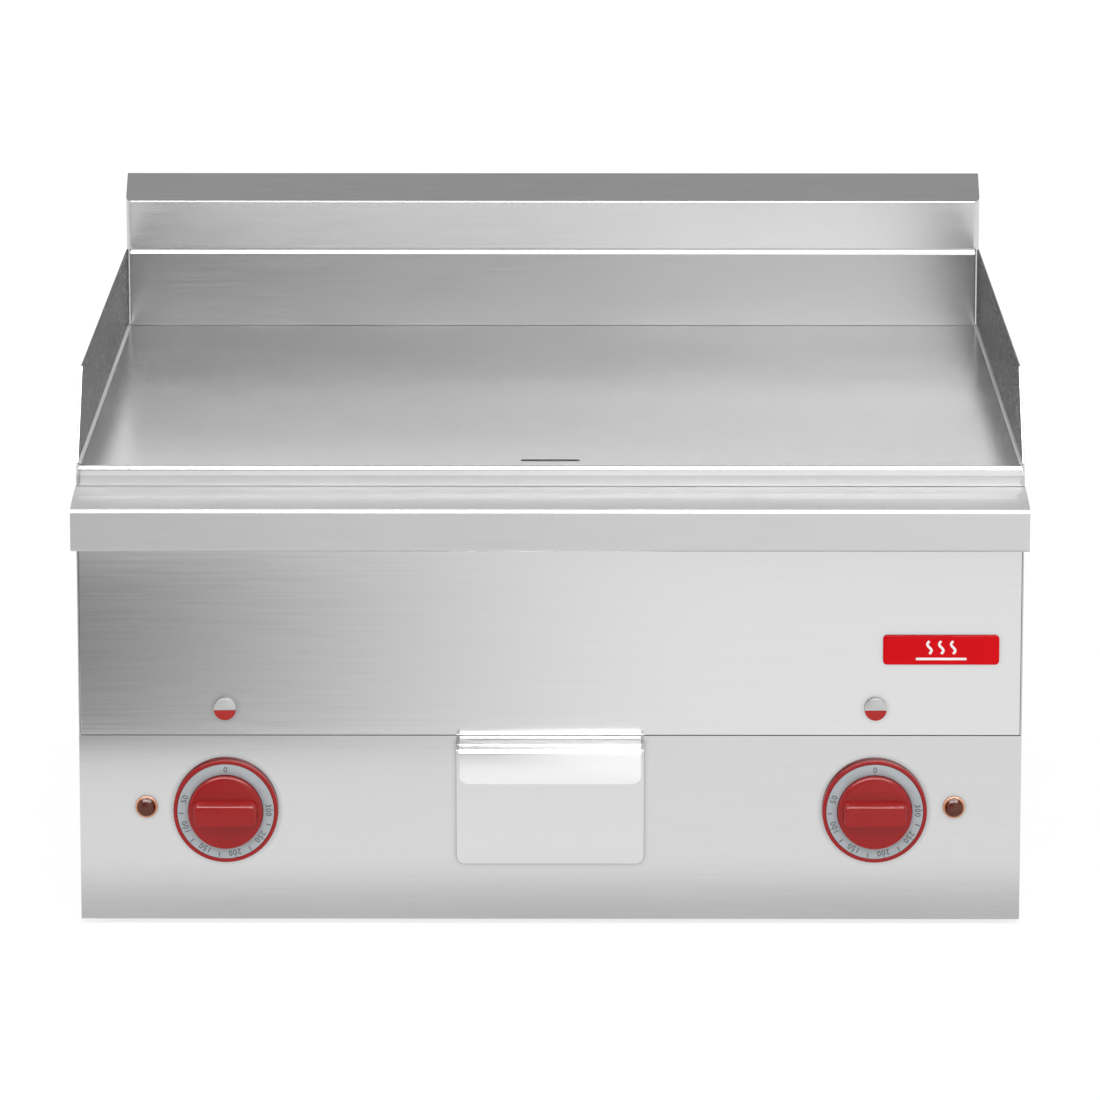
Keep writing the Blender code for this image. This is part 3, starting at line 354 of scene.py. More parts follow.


def brushed(name, grey, rough, grain="x", edge=1.0, depth=0.03, wear=0.05, fine=900,
            corners=0.0):
    """Belt-ground sheet with its grain along one axis.

    edge dims what the sheet mirrors at a glance, and corners is how far painted shade darkens
    its colour close around the pieces that stand proud of it.
    """
    finish = Finish(name, Metallic=1.0, Specular_Tint=(edge, edge, edge, 1.0))
    scratch = finish.noise(fine, STREAK[grain], detail=3)
    handled = finish.noise(9, detail=4, roughness=0.6)
    tone = grey * (1 - SCRATCH_CONTRAST / 2) + scratch * (grey * SCRATCH_CONTRAST)
    # painted shade: ambient occlusion darkens the sheet's colour close round the pieces that stand
    # proud of it
    if corners:
        tone = tone * (1 - corners * (1 - finish.openness(SHADE_REACH)))
    return finish.drive(
        Base_Color=finish.grey(tone),
        Roughness=rough + (scratch - 0.5) * 0.10 + (handled - 0.5) * wear,
        Normal=finish.bump(scratch, depth, SCRATCH_RELIEF),
    )


# painted light and shade: the parts are one steel, and each part's grey is set lighter or darker
# for the light it gets; the guard's dimmed edge reflection is painted shade too
steel_across = brushed("satin_steel_across", 0.64, 0.24)
steel_deep = brushed("satin_steel_deep", 0.56, 0.32, "y")
steel_cap = brushed("satin_steel_cap", 0.63, 0.20)
steel_guard = brushed("satin_steel_guard", 0.44, 0.26, "y", edge=0.25, fine=2600)
steel_wall = brushed("satin_steel_wall", 0.43, 0.18)
steel_panel = brushed("satin_steel_panel", 0.62, 0.13, corners=0.75)
steel_front = brushed("satin_steel_front", 0.69, 0.12, depth=0.012, corners=0.5)
steel_nose = brushed("satin_steel_nose", 0.57, 0.40, depth=0.002)
steel_handle = brushed("satin_steel_handle", 0.84, 0.34, depth=0.004)
steel_drawer = brushed("satin_steel_drawer", 0.66, 0.15, "z", depth=0.015, fine=2600)
print("ten steels, streaks", round(1 / STREAK["x"][0]), "times as long as they are wide")

# %% [markdown]
# ## The plate, zinc and the other metals
#
# The plate is hard chrome, polished on top, and its edge band is darkened with painted shade. The
# hidden parts are zinc coated sheet, heated tubes and turned brass, each with the mottling
# that its making leaves.

# %% Plate, zinc, tube and brass
PLATE_ROUND = 0.0065                # depth of the polished round above the darkened edge band
EDGE_SHADE_SHARE = 0.74                 # share of its colour that painted shade leaves the edge band
plate_bottom, plate_top = (corner.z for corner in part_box("griddle_plate"))


def polished_plate():
    """Hard chrome with faint polishing swirls and haze, its edge band darkened by painted shade."""
    finish = Finish("polished_plate", Metallic=1.0)
    swirl = finish.noise(220, (0.15, 1, 1), detail=3)
    haze = finish.noise(5, detail=5, roughness=0.6)
    # painted shade: the edge band below the polished round keeps only part of its colour
    edge_shade = finish.height_band(plate_bottom, plate_top - PLATE_ROUND, EDGE_SHADE_SHARE)
    return finish.drive(
        Base_Color=finish.grey((haze * 0.06 + 0.70) * edge_shade),
        Roughness=0.15 + haze * 0.10 + swirl * 0.03,
        Normal=finish.bump(swirl, 0.02, 0.00005),
    )


def galvanised():
    """Zinc with its large pale crystals, a spangle, over a dull grey."""
    finish = Finish("galvanised", Metallic=1.0)
    space = finish.node("ShaderNodeTexCoord", output="Object")
    spangle = finish.node("ShaderNodeTexVoronoi", inputs={"Vector": space, "Scale": 120.0})
    stain = finish.noise(14, detail=4)
    return finish.drive(
        Base_Color=finish.blend(spangle, (0.42, 0.44, 0.46), (0.58, 0.60, 0.61)),
        Roughness=0.38 + spangle * 0.12 + stain * 0.10,
        Normal=finish.bump(spangle, 0.06, 0.0001),
    )


def tube_metal(name, dark, light, rough, scale):
    """Drawn or turned metal that heat and handling have mottled."""
    finish = Finish(name, Metallic=1.0)
    mottle = finish.noise(scale, detail=5, roughness=0.65)
    return finish.drive(
        Base_Color=finish.blend(mottle, dark, light),
        Roughness=rough + (mottle - 0.5) * 0.2,
        Normal=finish.bump(mottle, 0.08, 0.0002),
    )


plate_finish = polished_plate()
zinc = galvanised()
sheath = tube_metal("heated_sheath", (0.10, 0.09, 0.09), (0.24, 0.20, 0.18), 0.45, 160)
copper = tube_metal("bare_copper", (0.55, 0.28, 0.18), (0.82, 0.50, 0.34), 0.34, 90)
brass = tube_metal("turned_brass", (0.60, 0.45, 0.18), (0.82, 0.64, 0.30), 0.28, 120)
print("plate polished above", round(plate_top - PLATE_ROUND, 4))

# %% [markdown]
# ## Plastics, rubber and fibre
#
# A moulded part copies the fine texture of its mould, so even a shiny one breaks up the
# light a little. One function makes them all, from smooth lenses to dull rubber, because
# they differ only in colour, roughness and the size and depth of that texture.

# %% Moulded finishes


def moulded(name, colour, rough, texture=900, depth=0.05, coat=0.0, spread=0.12, vary=0.08,
            shine=0.5):
    """Moulded material with a mould texture and slight unevenness of colour."""
    finish = Finish(name, Coat_Weight=coat, Coat_Roughness=0.06, Specular_IOR_Level=shine)
    grain = finish.noise(texture, detail=2)
    patch = finish.noise(40, detail=3)
    darker = [part * (1 - vary) for part in colour]
    lighter = [min(1.0, part * (1 + vary)) for part in colour]
    return finish.drive(
        Base_Color=finish.blend(patch, darker, lighter),
        Roughness=rough + (grain - 0.5) * spread + (patch - 0.5) * 0.05,
        Normal=finish.bump(grain, depth, 0.0001),
    )


red_plastic = moulded("knob_red", (0.31, 0.006, 0.006), 0.22, depth=0.03, shine=0.32)
red_lens = moulded("lens_red", (0.42, 0.016, 0.014), 0.12, depth=0.0, spread=0.04, shine=0.3)
# painted reflection: light grey for the upper half of each red lens, standing in for the light
# above that it mirrors
painted_reflection_lens = moulded("lens_painted_reflection", (0.50, 0.50, 0.50), 0.12, depth=0.0, coat=0.4, spread=0.04)
amber_lens = moulded("lens_amber", (0.090, 0.012, 0.001), 0.20, depth=0.0, spread=0.03)
amber_rim = moulded("lens_amber_rim", (0.72, 0.34, 0.19), 0.22, depth=0.0, coat=0.3, spread=0.05)
badge_red = moulded("badge_red", (0.64, 0.0004, 0.005), 0.14, depth=0.01, spread=0.04, shine=0.1)
badge_white = moulded("badge_white", (0.86, 0.86, 0.86), 0.30, depth=0.01, spread=0.05)
dial_grey = moulded("dial_grey", (0.37, 0.405, 0.425), 0.42, texture=1600, depth=0.04)
dial_ink = moulded("dial_ink", (0.022, 0.026, 0.030), 0.55, depth=0.02)
black_plastic = moulded("black_plastic", (0.028, 0.028, 0.030), 0.48, texture=700, depth=0.12)
cream_plastic = moulded("cream_plastic", (0.68, 0.64, 0.54), 0.50, texture=600, depth=0.10)
rubber = moulded("rubber", (0.020, 0.020, 0.021), 0.80, texture=500, depth=0.25)
fibre = moulded("fibre_blanket", (0.78, 0.76, 0.71), 0.95, texture=260, depth=0.8, vary=0.14)
print(len(bpy.data.materials), "finishes so far")

# %% [markdown]
# ## The sheet parts
#
# The folded parts already have the right shape, so they stay and only get a finish. A
# sheared edge is never perfectly sharp, and a thin bright line along it is what tells the
# eye that a surface is sheet metal. A narrow live bevel gives that. The model's triangles
# are loose, so a Weld modifier joins them first, or the bevel would find no shared edge.

# %% Finishes for the model's own parts
FINISH_OF_SLOT = {
    "satin_steel": steel_across, "polished_plate": plate_finish, "galvanised": zinc,
    "dark_steel": sheath, "copper": copper, "red_plastic": red_plastic,
    "dial_print": dial_grey, "red_lens": red_lens, "amber_lens": amber_lens,
    "badge_red": badge_red, "black_plastic": black_plastic, "cream_plastic": cream_plastic,
    "rubber": rubber, "fibre_blanket": fibre, "brass": brass,
}
OWN_FINISH = {
    "splash_guard_left": steel_guard, "splash_guard_right": steel_guard,
    "side_panel_left": steel_deep, "side_panel_right": steel_deep,
    "splash_back": steel_wall, "upper_fascia": steel_front, "worktop_front": steel_nose,
    "drawer_front": steel_drawer, "rear_cap": steel_cap, "control_panel": steel_panel,
}
EDGE_WIDTH = {
    "worktop_front": 0.00035, "splash_guard_left": 0.0003, "splash_guard_right": 0.0003,
    "splash_back": 0.0002, "rear_cap": 0.0003, "side_panel_left": 0.0003,
    "side_panel_right": 0.0003, "upper_fascia": 0.0003, "control_panel": 0.0003,
    "drawer_tray": 0.0002, "drawer_front": 0.00035, "base_pan": 0.0003, "rear_panel": 0.0003,
}

for part in frame["record"]["subparts"]:
    node = frame["nodes"][part["node"]]
    surface = OWN_FINISH.get(part["node"], FINISH_OF_SLOT[part["material_slot"]])
    node.data.materials.clear()
    node.data.materials.append(surface)

for name, width in EDGE_WIDTH.items():
    node = frame["nodes"][name]
    weld = node.modifiers.new("join_triangles", "WELD")
    weld.merge_threshold = 0.00001
    edge = node.modifiers.new("worn_edge", "BEVEL")
    edge.width = width
    edge.segments = 2
    edge.limit_method = "ANGLE"
    edge.angle_limit = math.radians(50)

# %% [markdown]
# ## The knobs
#
# Each knob is one moulding: a flat skirt with a recess for the dial ring, a raised body,
# and a grip bar across it. The skirt and body are stepped out of one cylinder. The bar is
# a box whose face is drawn in, joined on with a Boolean so that the two are one skin.

# %% Knobs
SKIRT_RIM, RECESS_WALL, RECESS_DEPTH = 0.0011, 0.0013, 0.0014
SKIRT_THICK, BODY_THICK = 0.0050, 0.0100       # both from the knob's rear face
BODY_SHARE = 0.71                              # of the skirt's radius
CROWN_STEPS = [(0.0010, 0.0009), (0.0022, 0.0003)]
GRIP_HALF_LENGTH, GRIP_HALF_ROOT, GRIP_HALF_TIP = 0.0205, 0.0088, 0.0066
GRIP_TAPER, GRIP_END_ROUND, GRIP_EDGE_ROUND = 0.955, 0.0035, 0.0015
GRIP_SUNK = 0.002                              # how deep the bar starts inside the body
SIDES = ("left", "right")


def knob_blank(node):
    """Skirt, recess and body, then the grip bar, all on the node's own axis."""
    low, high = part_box(node)
    centre = (low + high) / 2
    radius = (high.x - low.x) / 2
    body = turned_blank(centre, high.y, high.y - SKIRT_THICK, radius)
    seat_inset = radius * (1 - BODY_SHARE) - RECESS_WALL - SKIRT_RIM
    crown_rise = sum(forwards for inwards, forwards in CROWN_STEPS)
    step_front(body, [
        (SKIRT_RIM, 0), (RECESS_WALL, 0), (0, -RECESS_DEPTH), (seat_inset, 0),
        (0, BODY_THICK - SKIRT_THICK + RECESS_DEPTH - crown_rise), *CROWN_STEPS,
    ])
    soften(body, 0.0005)
    bar = grip_bar(centre, low.y, high.y - BODY_THICK + GRIP_SUNK)
    apply_modifier(body, "BOOLEAN", operation="UNION", solver="EXACT", object=bar)
    bpy.data.objects.remove(bar, do_unlink=True)
    return body


def grip_bar(centre, front, rear):
    """The bar across the knob, its face drawn in and its ends and edges rounded."""
    bar = box_blank(
        (centre.x - GRIP_HALF_LENGTH, front, centre.z - GRIP_HALF_ROOT),
        (centre.x + GRIP_HALF_LENGTH, rear, centre.z + GRIP_HALF_ROOT),
    )
    only(bar)
    bpy.ops.object.mode_set(mode="EDIT")
    choose_faces(lambda face: face.normal.y < -0.9)
    bpy.ops.transform.resize(
        value=(GRIP_TAPER, 1, GRIP_HALF_TIP / GRIP_HALF_ROOT),
        center_override=(centre.x, front, centre.z),
    )
    choose_edges(lambda middle, along: abs(middle.x - centre.x) > 0.9 * GRIP_HALF_LENGTH
                 and abs(along.y) > 0.7)
    bpy.ops.mesh.bevel(offset=GRIP_END_ROUND, segments=6, affect="EDGES")
    bpy.ops.object.mode_set(mode="OBJECT")
    return soften(bar, GRIP_EDGE_ROUND, 5)


for side in SIDES:
    knob = knob_blank(f"knob_{side}")
    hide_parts(f"knob_{side}")
    finished(knob, f"knob_moulding_{side}", f"knob_{side}", red_plastic, 35)

# %% [markdown]
# ## The dial rings
#
# The ring is printed anodised sheet. The scale runs from 0 at the top to 300, with the
# numbers' tops outwards and a longer dash halfway between two numbers. The print is real
# geometry a few hundredths of a millimetre proud, so that it stays sharp when seen close.

# %% Dial rings and their print
SCALE_MARKS = {"0": 0, "50": 73, "100": 112, "150": 151, "200": 192, "250": 233, "300": 272}
DIGIT_SIZE, DIGIT_SPACING = 0.0051, 1.12
DIGIT_DROP = 0.0002                 # how far below the ring's middle the numbers sit
TICK, DASH = (0.0004, 0.0010), (0.0005, 0.0030)     # each a width and a length
TICK_INSET, DASH_DROP = 0.0012, 0.0004
INK_HEIGHT = 0.00006
HOLE_SHARE = 0.72                   # of the knob's radius, just clear of its body


def print_mark(centre, face, radius, degrees, width, length):
    """A short radial dash, its own height proud of the ring."""
    mark = box_blank(
        (centre.x - width / 2, face - INK_HEIGHT, centre.z + radius),
        (centre.x + width / 2, face, centre.z + radius + length),
    )
    return turned_about(mark, centre, degrees)


def turned_about(piece, centre, degrees):
    """Turn a mesh about the knob's axis, anticlockwise as the cook sees it."""
    pivot = Matrix.Translation(centre)
    turn = Euler((0, math.radians(-degrees), 0)).to_matrix().to_4x4()
    piece.data.transform(pivot @ turn @ pivot.inverted())
    return piece


def print_number(text, centre, face, radius, degrees):
    """A number whose top points outwards, centred on its place on the ring."""
    bpy.ops.object.text_add(location=(0, 0, 0))
    label = bpy.context.object
    label.data.body = text
    label.data.size = DIGIT_SIZE
    label.data.space_character = DIGIT_SPACING
    label.data.align_x = "CENTER"
    label.data.align_y = "CENTER"
    label.data.resolution_u = 3
    label.data.extrude = INK_HEIGHT / 2
    only(label)
    bpy.ops.object.convert(target="MESH")
    label = bpy.context.object
    label.rotation_euler = (math.pi / 2, 0, 0)
    label.location = (centre.x, face - INK_HEIGHT / 2, centre.z + radius)
    return turned_about(place_in_mesh(label), centre, degrees)


def dial_ring(side):
    """The ring, then its print joined into one piece."""
    low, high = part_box(f"dial_ring_{side}")
    centre = (low + high) / 2
    outer = (high.x - low.x) / 2
    inner = HOLE_SHARE * (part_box(f"knob_{side}")[1].x - centre.x)
    ring = turned_blank(centre, high.y, low.y, outer)
    hole = turned_blank(centre, high.y + 0.01, low.y - 0.01, inner)
    apply_modifier(ring, "BOOLEAN", operation="DIFFERENCE", solver="EXACT", object=hole)
    bpy.data.objects.remove(hole, do_unlink=True)
    soften(ring, 0.00015, 2)
    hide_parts(f"dial_ring_{side}")
    finished(ring, f"dial_plate_{side}", f"knob_{side}", dial_grey)
    ink = joined(scale_print(centre, low.y, inner, outer))
    finished(ink, f"dial_numbers_{side}", f"knob_{side}", dial_ink)


def scale_print(centre, face, inner, outer):
    """The numbers, a tick outside each but 0, and a dash halfway between two of them."""
    middle = (inner + outer) / 2
    marks = []
    places = list(SCALE_MARKS.values())
    for text, degrees in SCALE_MARKS.items():
        marks.append(print_number(text, centre, face, middle - DIGIT_DROP, degrees))
        if text != "0":
            marks.append(print_mark(centre, face, outer - TICK_INSET, degrees, *TICK))
    for before, after in zip(places[1:], places[2:]):
        halfway = (before + after) / 2
        marks.append(print_mark(centre, face, middle - DASH_DROP, halfway, *DASH))
    return marks


for side in SIDES:
    dial_ring(side)

# %% [markdown]
# ## Pilot lamps
#
# The red lenses have a ridge straight across: the upper facet is coloured light grey as a
# painted reflection of the light above, and the lower one is red. The amber ones are deep dark
# domes in a bright rim. Both kinds start as turned blanks, and the ridge is a bisected front face.

# %% Red lamps
RIDGE_RISE = 0.0016
PANEL_GAP = 0.0003                  # between a lens and the panel behind it


def ridged_half(side, upper):
    """One half of a red lens, cut at the ridge and sloping away from it."""
    low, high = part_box(f"lamp_lens_red_{side}")
    centre = (low + high) / 2
    radius = (high.x - low.x) / 2
    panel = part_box("upper_fascia")[0].y
    half = turned_blank(centre, panel - PANEL_GAP, low.y + RIDGE_RISE, radius, 64)
    only(half)
    bpy.ops.object.mode_set(mode="EDIT")
    bpy.ops.mesh.select_all(action="SELECT")
    bpy.ops.mesh.bisect(
        plane_co=centre, plane_no=UPWARDS, use_fill=True,
        clear_inner=upper, clear_outer=not upper,
    )
    choose_edges(lambda middle, along: abs(middle.z - centre.z) < HAIR
                 and middle.y < low.y + RIDGE_RISE + HAIR and abs(along.x) > 0.99)
    bpy.ops.transform.translate(value=TOWARDS_FRONT * RIDGE_RISE * 0.9)
    bpy.ops.object.mode_set(mode="OBJECT")
    return soften(half, 0.0003, 2)


for side in SIDES:
    top, bottom = ridged_half(side, True), ridged_half(side, False)
    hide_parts(f"lamp_lens_red_{side}")
    # the upper half's light grey is a painted reflection
    finished(top, f"lamp_red_reflection_half_{side}", "chassis", painted_reflection_lens, 30)
    finished(bottom, f"lamp_red_half_{side}", "chassis", red_lens, 30)

# %% [markdown]
# An amber lamp is a pressed bright rim round a domed lens. The dome is stepped out of a
# disc in four rings, each lower than the last, which smooth shading turns into a crown.

# %% Amber lamps
RIM_FACE, DOME_FOOT, DOME_FACE = 0.0012, 0.0010, 0.0022     # all ahead of the panel
RIM_WIDTH = 0.0012
RIM_STEPS = [(0.0007, 0.0006), (0.0005, -0.0004)]
DOME_STEPS = [(0.0008, 0.0010), (0.0012, 0.0008), (0.0016, 0.0005), (0.0012, 0.0001)]

for side in SIDES:
    low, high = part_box(f"lamp_lens_amber_{side}")
    centre = (low + high) / 2
    radius = (high.x - low.x) / 2
    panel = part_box("control_panel")[0].y
    bezel = turned_blank(centre, panel - PANEL_GAP, panel - RIM_FACE, radius, 64)
    step_front(bezel, RIM_STEPS)
    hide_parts(f"lamp_lens_amber_{side}")
    finished(bezel, f"lamp_amber_rim_{side}", "chassis", amber_rim, 60)
    dome = turned_blank(centre, panel - DOME_FOOT, panel - DOME_FACE, radius - RIM_WIDTH, 64)
    step_front(dome, DOME_STEPS)
    finished(dome, f"lamp_amber_dome_{side}", "chassis", amber_lens, 60)

# %% [markdown]
# ## The badge
#
# A domed badge is printed film under clear resin, so its surface crowns towards the
# middle. Its mark here is a plain pictogram: heat rising from a flat plate.

# %% Badge and pictogram
CROWN_DEPTH = 0.0010                # room left in front of the blank for its crown
BADGE_STEPS = [(0.0006, 0.0004), (0.0008, 0.0002), (0.0012, 0.0001)]
BADGE_CORNER = 0.0026
WAVE_POINTS, WAVE_SWAY, WAVE_THICK, WAVE_FLAT = 13, 0.0013, 0.0008, 0.3
WAVE_HEIGHT, WAVE_PITCH, WAVE_RISE = 0.0082, 0.0075, 0.0018
BAR_HALF_LENGTH, BAR_BOTTOM, BAR_TOP = 0.0160, -0.0064, -0.0048


def badge():
    """The domed plate: a box with rounded corners and a face stepped into a crown."""
    low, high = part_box("badge")
    plate = box_blank((low.x, low.y + CROWN_DEPTH, low.z), (high.x, high.y, high.z))
    only(plate)
    bpy.ops.object.mode_set(mode="EDIT")
    choose_edges(lambda middle, along: abs(along.y) > 0.9)
    bpy.ops.mesh.bevel(offset=BADGE_CORNER, segments=8, affect="EDGES")
    bpy.ops.object.mode_set(mode="OBJECT")
    step_front(plate, BADGE_STEPS)
    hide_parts("badge")
    finished(plate, "badge_dome", "chassis", badge_red, 60)


def heat_wave(centre, face):
    """One wavy stroke, a curve with a round section made into a mesh."""
    bpy.ops.curve.primitive_bezier_curve_add()
    wave = bpy.context.object
    spline = wave.data.splines[0]
    spline.bezier_points.add(WAVE_POINTS - 2)
    for step, point in enumerate(spline.bezier_points):
        share = step / (WAVE_POINTS - 1)
        sway = WAVE_SWAY * math.sin(share * 2 * math.pi)
        point.co = (centre.x + sway, 0, centre.z + (share - 0.5) * WAVE_HEIGHT)
        point.handle_left_type = point.handle_right_type = "AUTO"
    wave.data.bevel_depth = WAVE_THICK
    wave.data.bevel_resolution = 2
    wave.data.use_fill_caps = True
    only(wave)
    bpy.ops.object.convert(target="MESH")
    wave = bpy.context.object
    wave.scale.y = WAVE_FLAT
    wave.location.y = face
    return place_in_mesh(wave)


badge()
low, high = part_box("badge")
centre = (low + high) / 2
crown = low.y + 0.0003              # the dome's own face, which the mark stands proud of
strokes = [
    heat_wave(Vector((centre.x + across, 0, centre.z + WAVE_RISE)), crown)
    for across in (-WAVE_PITCH, 0.0, WAVE_PITCH)
]
base_bar = box_blank(
    (centre.x - BAR_HALF_LENGTH, low.y + HAIR, centre.z + BAR_BOTTOM),
    (centre.x + BAR_HALF_LENGTH, low.y + WAVE_THICK, centre.z + BAR_TOP),
)
soften(base_bar, 0.0002, 2)
finished(joined(strokes + [base_bar]), "badge_pictogram", "chassis", badge_white, 60)

# %% [markdown]
# ## The drawer's handle
#
# The handle is one strip folded forwards into a ledge and down into a lip. A shallow bead
# across the ledge stiffens it, and it is what makes the double bright line from the front.
# An outline swept sideways gives all of that, with the fold's radius at true size.

# %% A strip of sheet swept sideways


def swept_sheet(outline, left, right):
    """A strip of sheet: an outline in Y and Z drawn point by point, filled, pulled along X."""
    bpy.ops.mesh.primitive_plane_add(size=0.001, location=(left, *outline[0]))
    strip = place_in_mesh(bpy.context.object)
    only(strip)
    bpy.ops.object.mode_set(mode="EDIT")
    bpy.ops.mesh.select_all(action="SELECT")
    bpy.ops.mesh.select_mode(type="VERT")
    bpy.ops.mesh.merge(type="CENTER")
    for here, there in zip(outline, outline[1:] + outline[:1]):
        bpy.ops.mesh.extrude_region()
        bpy.ops.transform.translate(value=(0, there[0] - here[0], there[1] - here[1]))
    bpy.ops.mesh.select_all(action="SELECT")
    bpy.ops.mesh.remove_doubles(threshold=HAIR / 10)
    bpy.ops.mesh.edge_face_add()
    bpy.ops.mesh.extrude_region_move(
        TRANSFORM_OT_translate={"value": ALONG_X * (right - left)}
    )
    bpy.ops.mesh.select_all(action="SELECT")
    bpy.ops.mesh.normals_make_consistent(inside=False)
    bpy.ops.object.mode_set(mode="OBJECT")
    return strip


def quarter(centre, radius, start, end, steps=8):
    """Points on an arc in Y and Z, angles in degrees from +Y towards +Z."""
    angles = [math.radians(start + (end - start) * step / steps) for step in range(steps + 1)]
    return [(centre[0] + radius * math.cos(a), centre[1] + radius * math.sin(a)) for a in angles]


# %% [markdown]
# The outline runs along the ledge from the rear, over the bead, round the fold and down
# the lip, then back along the inner side at the sheet's own thickness.

# %% Drawer handle
SHEET, FOLD_RADIUS = 0.0012, 0.003
BEAD_BACK, BEAD_RADIUS, BEAD_RISE, BEAD_STEPS = 0.0165, 0.0016, 0.0006, 8
LIP_CORNER = 0.006


def handle_outline(low, high):
    """The folded strip's section, from the ledge's rear end and back to it."""
    ledge = high.z - BEAD_RISE
    bead_at = high.y - BEAD_BACK
    fold = (low.y + FOLD_RADIUS, ledge - FOLD_RADIUS)
    turns = [math.pi * step / BEAD_STEPS for step in range(1, BEAD_STEPS)]
    return [
        (high.y, ledge), (bead_at + BEAD_RADIUS, ledge),
        *((bead_at + BEAD_RADIUS * math.cos(turn), ledge + BEAD_RISE * math.sin(turn))
          for turn in turns),
        (bead_at - BEAD_RADIUS, ledge),
        *quarter(fold, FOLD_RADIUS, 90, 180),
        (low.y, low.z), (low.y + SHEET, low.z),
        *quarter(fold, FOLD_RADIUS - SHEET, 180, 90),
        (high.y, ledge - SHEET),
    ]


def handle():
    """The swept strip, with the two lower corners of its lip rounded."""
    low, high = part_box("drawer_handle")
    strip = swept_sheet(handle_outline(low, high), low.x, high.x)
    only(strip)
    bpy.ops.object.mode_set(mode="EDIT")
    choose_edges(lambda middle, along: middle.z < low.z + HAIR and abs(along.y) > 0.9
                 and min(abs(middle.x - low.x), abs(middle.x - high.x)) < HAIR)
    bpy.ops.mesh.bevel(offset=LIP_CORNER, segments=10, affect="EDGES")
    bpy.ops.object.mode_set(mode="OBJECT")
    soften(strip, 0.00025, 2, 50)
    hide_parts("drawer_handle")
    finished(strip, "drawer_handle_fold", "drawer", steel_handle, 40)


handle()

# %% [markdown]
# ## Welds and screws
#
# A guard is welded to the plate along its foot, and the bead is ground to a small smooth
# fillet so that grease can't lodge there. The rear is screwed on with pan head screws.

# %% Weld fillets along the guards
WELD_LEG = 0.0018


def fillet(inner_face, towards, front, rear, floor):
    """A concave fillet in the corner between a guard and the plate.

    It is swept along X like any strip, and then X and Y change places.
    """
    outline = [(inner_face - towards * HAIR, floor - HAIR)] + [
        (inner_face + towards * WELD_LEG * (1 - math.sin(math.radians(turn))),
         floor + WELD_LEG * (1 - math.cos(math.radians(turn))))
        for turn in range(0, 91, 15)
    ]
    strip = swept_sheet(outline, front, rear)
    swap = Matrix(((0, 1, 0, 0), (1, 0, 0, 0), (0, 0, 1, 0), (0, 0, 0, 1)))
    strip.data.transform(swap)
    only(strip)
    bpy.ops.object.mode_set(mode="EDIT")
    bpy.ops.mesh.select_all(action="SELECT")
    bpy.ops.mesh.normals_make_consistent(inside=False)
    bpy.ops.object.mode_set(mode="OBJECT")
    return strip


wall_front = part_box("splash_back")[0].y
for side, towards in (("left", 1), ("right", -1)):
    low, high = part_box(f"splash_guard_{side}")
    inner_face = high.x if towards > 0 else low.x
    bead = fillet(inner_face, towards, low.y, wall_front, plate_top)
    finished(bead, f"guard_weld_{side}", "chassis", steel_deep, 60)

# %% [markdown]
# A pan head is a short disc with a generously rounded rim, and its cross is cut by two
# slim boxes. It is made once and copied along the panel's two rows.

# %% Screws on the rear panel
SCREW_RADIUS, SCREW_RISE, SCREW_ROUND = 0.0040, 0.0016, 0.0009
CROSS_LENGTH, CROSS_WIDTH = 0.0042, 0.0010
CUTTER_REACH = 0.0030               # past the head's face, so that the cut goes right out
REAR_GAP, REAR_SHEET = 0.001, 0.0012
SCREW_INSET, SCREW_ROWS = 0.012, (0.045, 0.225)


def rear_screw(across, up, face):
    """A pan head screw facing the rear, with a cross recess."""
    bpy.ops.mesh.primitive_cylinder_add(
        vertices=32, radius=SCREW_RADIUS, depth=SCREW_RISE,
        location=(across, face + SCREW_RISE / 2, up), rotation=(math.pi / 2, 0, 0),
    )
    head = place_in_mesh(bpy.context.object)
    soften(head, SCREW_ROUND, 4)
    for length, width in ((CROSS_LENGTH, CROSS_WIDTH), (CROSS_WIDTH, CROSS_LENGTH)):
        cutter = box_blank(
            (across - length / 2, face + SCREW_RISE / 2, up - width / 2),
            (across + length / 2, face + CUTTER_REACH, up + width / 2),
        )
        apply_modifier(head, "BOOLEAN", operation="DIFFERENCE", solver="EXACT", object=cutter)
        bpy.data.objects.remove(cutter, do_unlink=True)
    return head


panel_low, panel_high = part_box("rear_panel")
panel_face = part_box("base_pan")[1].y + REAR_GAP + REAR_SHEET
columns = [panel_low.x + SCREW_INSET, 0.0, panel_high.x - SCREW_INSET]
first = rear_screw(columns[0], SCREW_ROWS[0], panel_face)
heads = [
    copy_across(first, (across - columns[0], 0, up - SCREW_ROWS[0]))
    for across in columns for up in SCREW_ROWS
]
bpy.data.objects.remove(first, do_unlink=True)
finished(joined(heads), "rear_panel_screws", "chassis", zinc, 40)

# %% [markdown]
# ## Floor, light and camera
#
# Polished metal looks like whatever surrounds it, so lighting it means placing what it
# reflects. The upright panels mirror the floor in front, the folds mirror a broad soft
# light overhead in front, and the top mirrors a dome that is white low down and grey above.

# %% Floor
BAND_NEAR, BAND_FAR, BAND_SIDE = (-0.722, -0.772), (-1.44, -1.52), (-0.56, 0.14)
BAND_SHADE, BEYOND_SHADE = 0.90, 0.14
PAPER_MATT, PAPER_GLOW = 0.25, 0.76

bpy.ops.mesh.primitive_plane_add(size=1, location=(0, 0, 0))
floor = bpy.context.object
floor.name = "studio_floor"
floor.scale = (40, 40, 1)
place_in_mesh(floor)


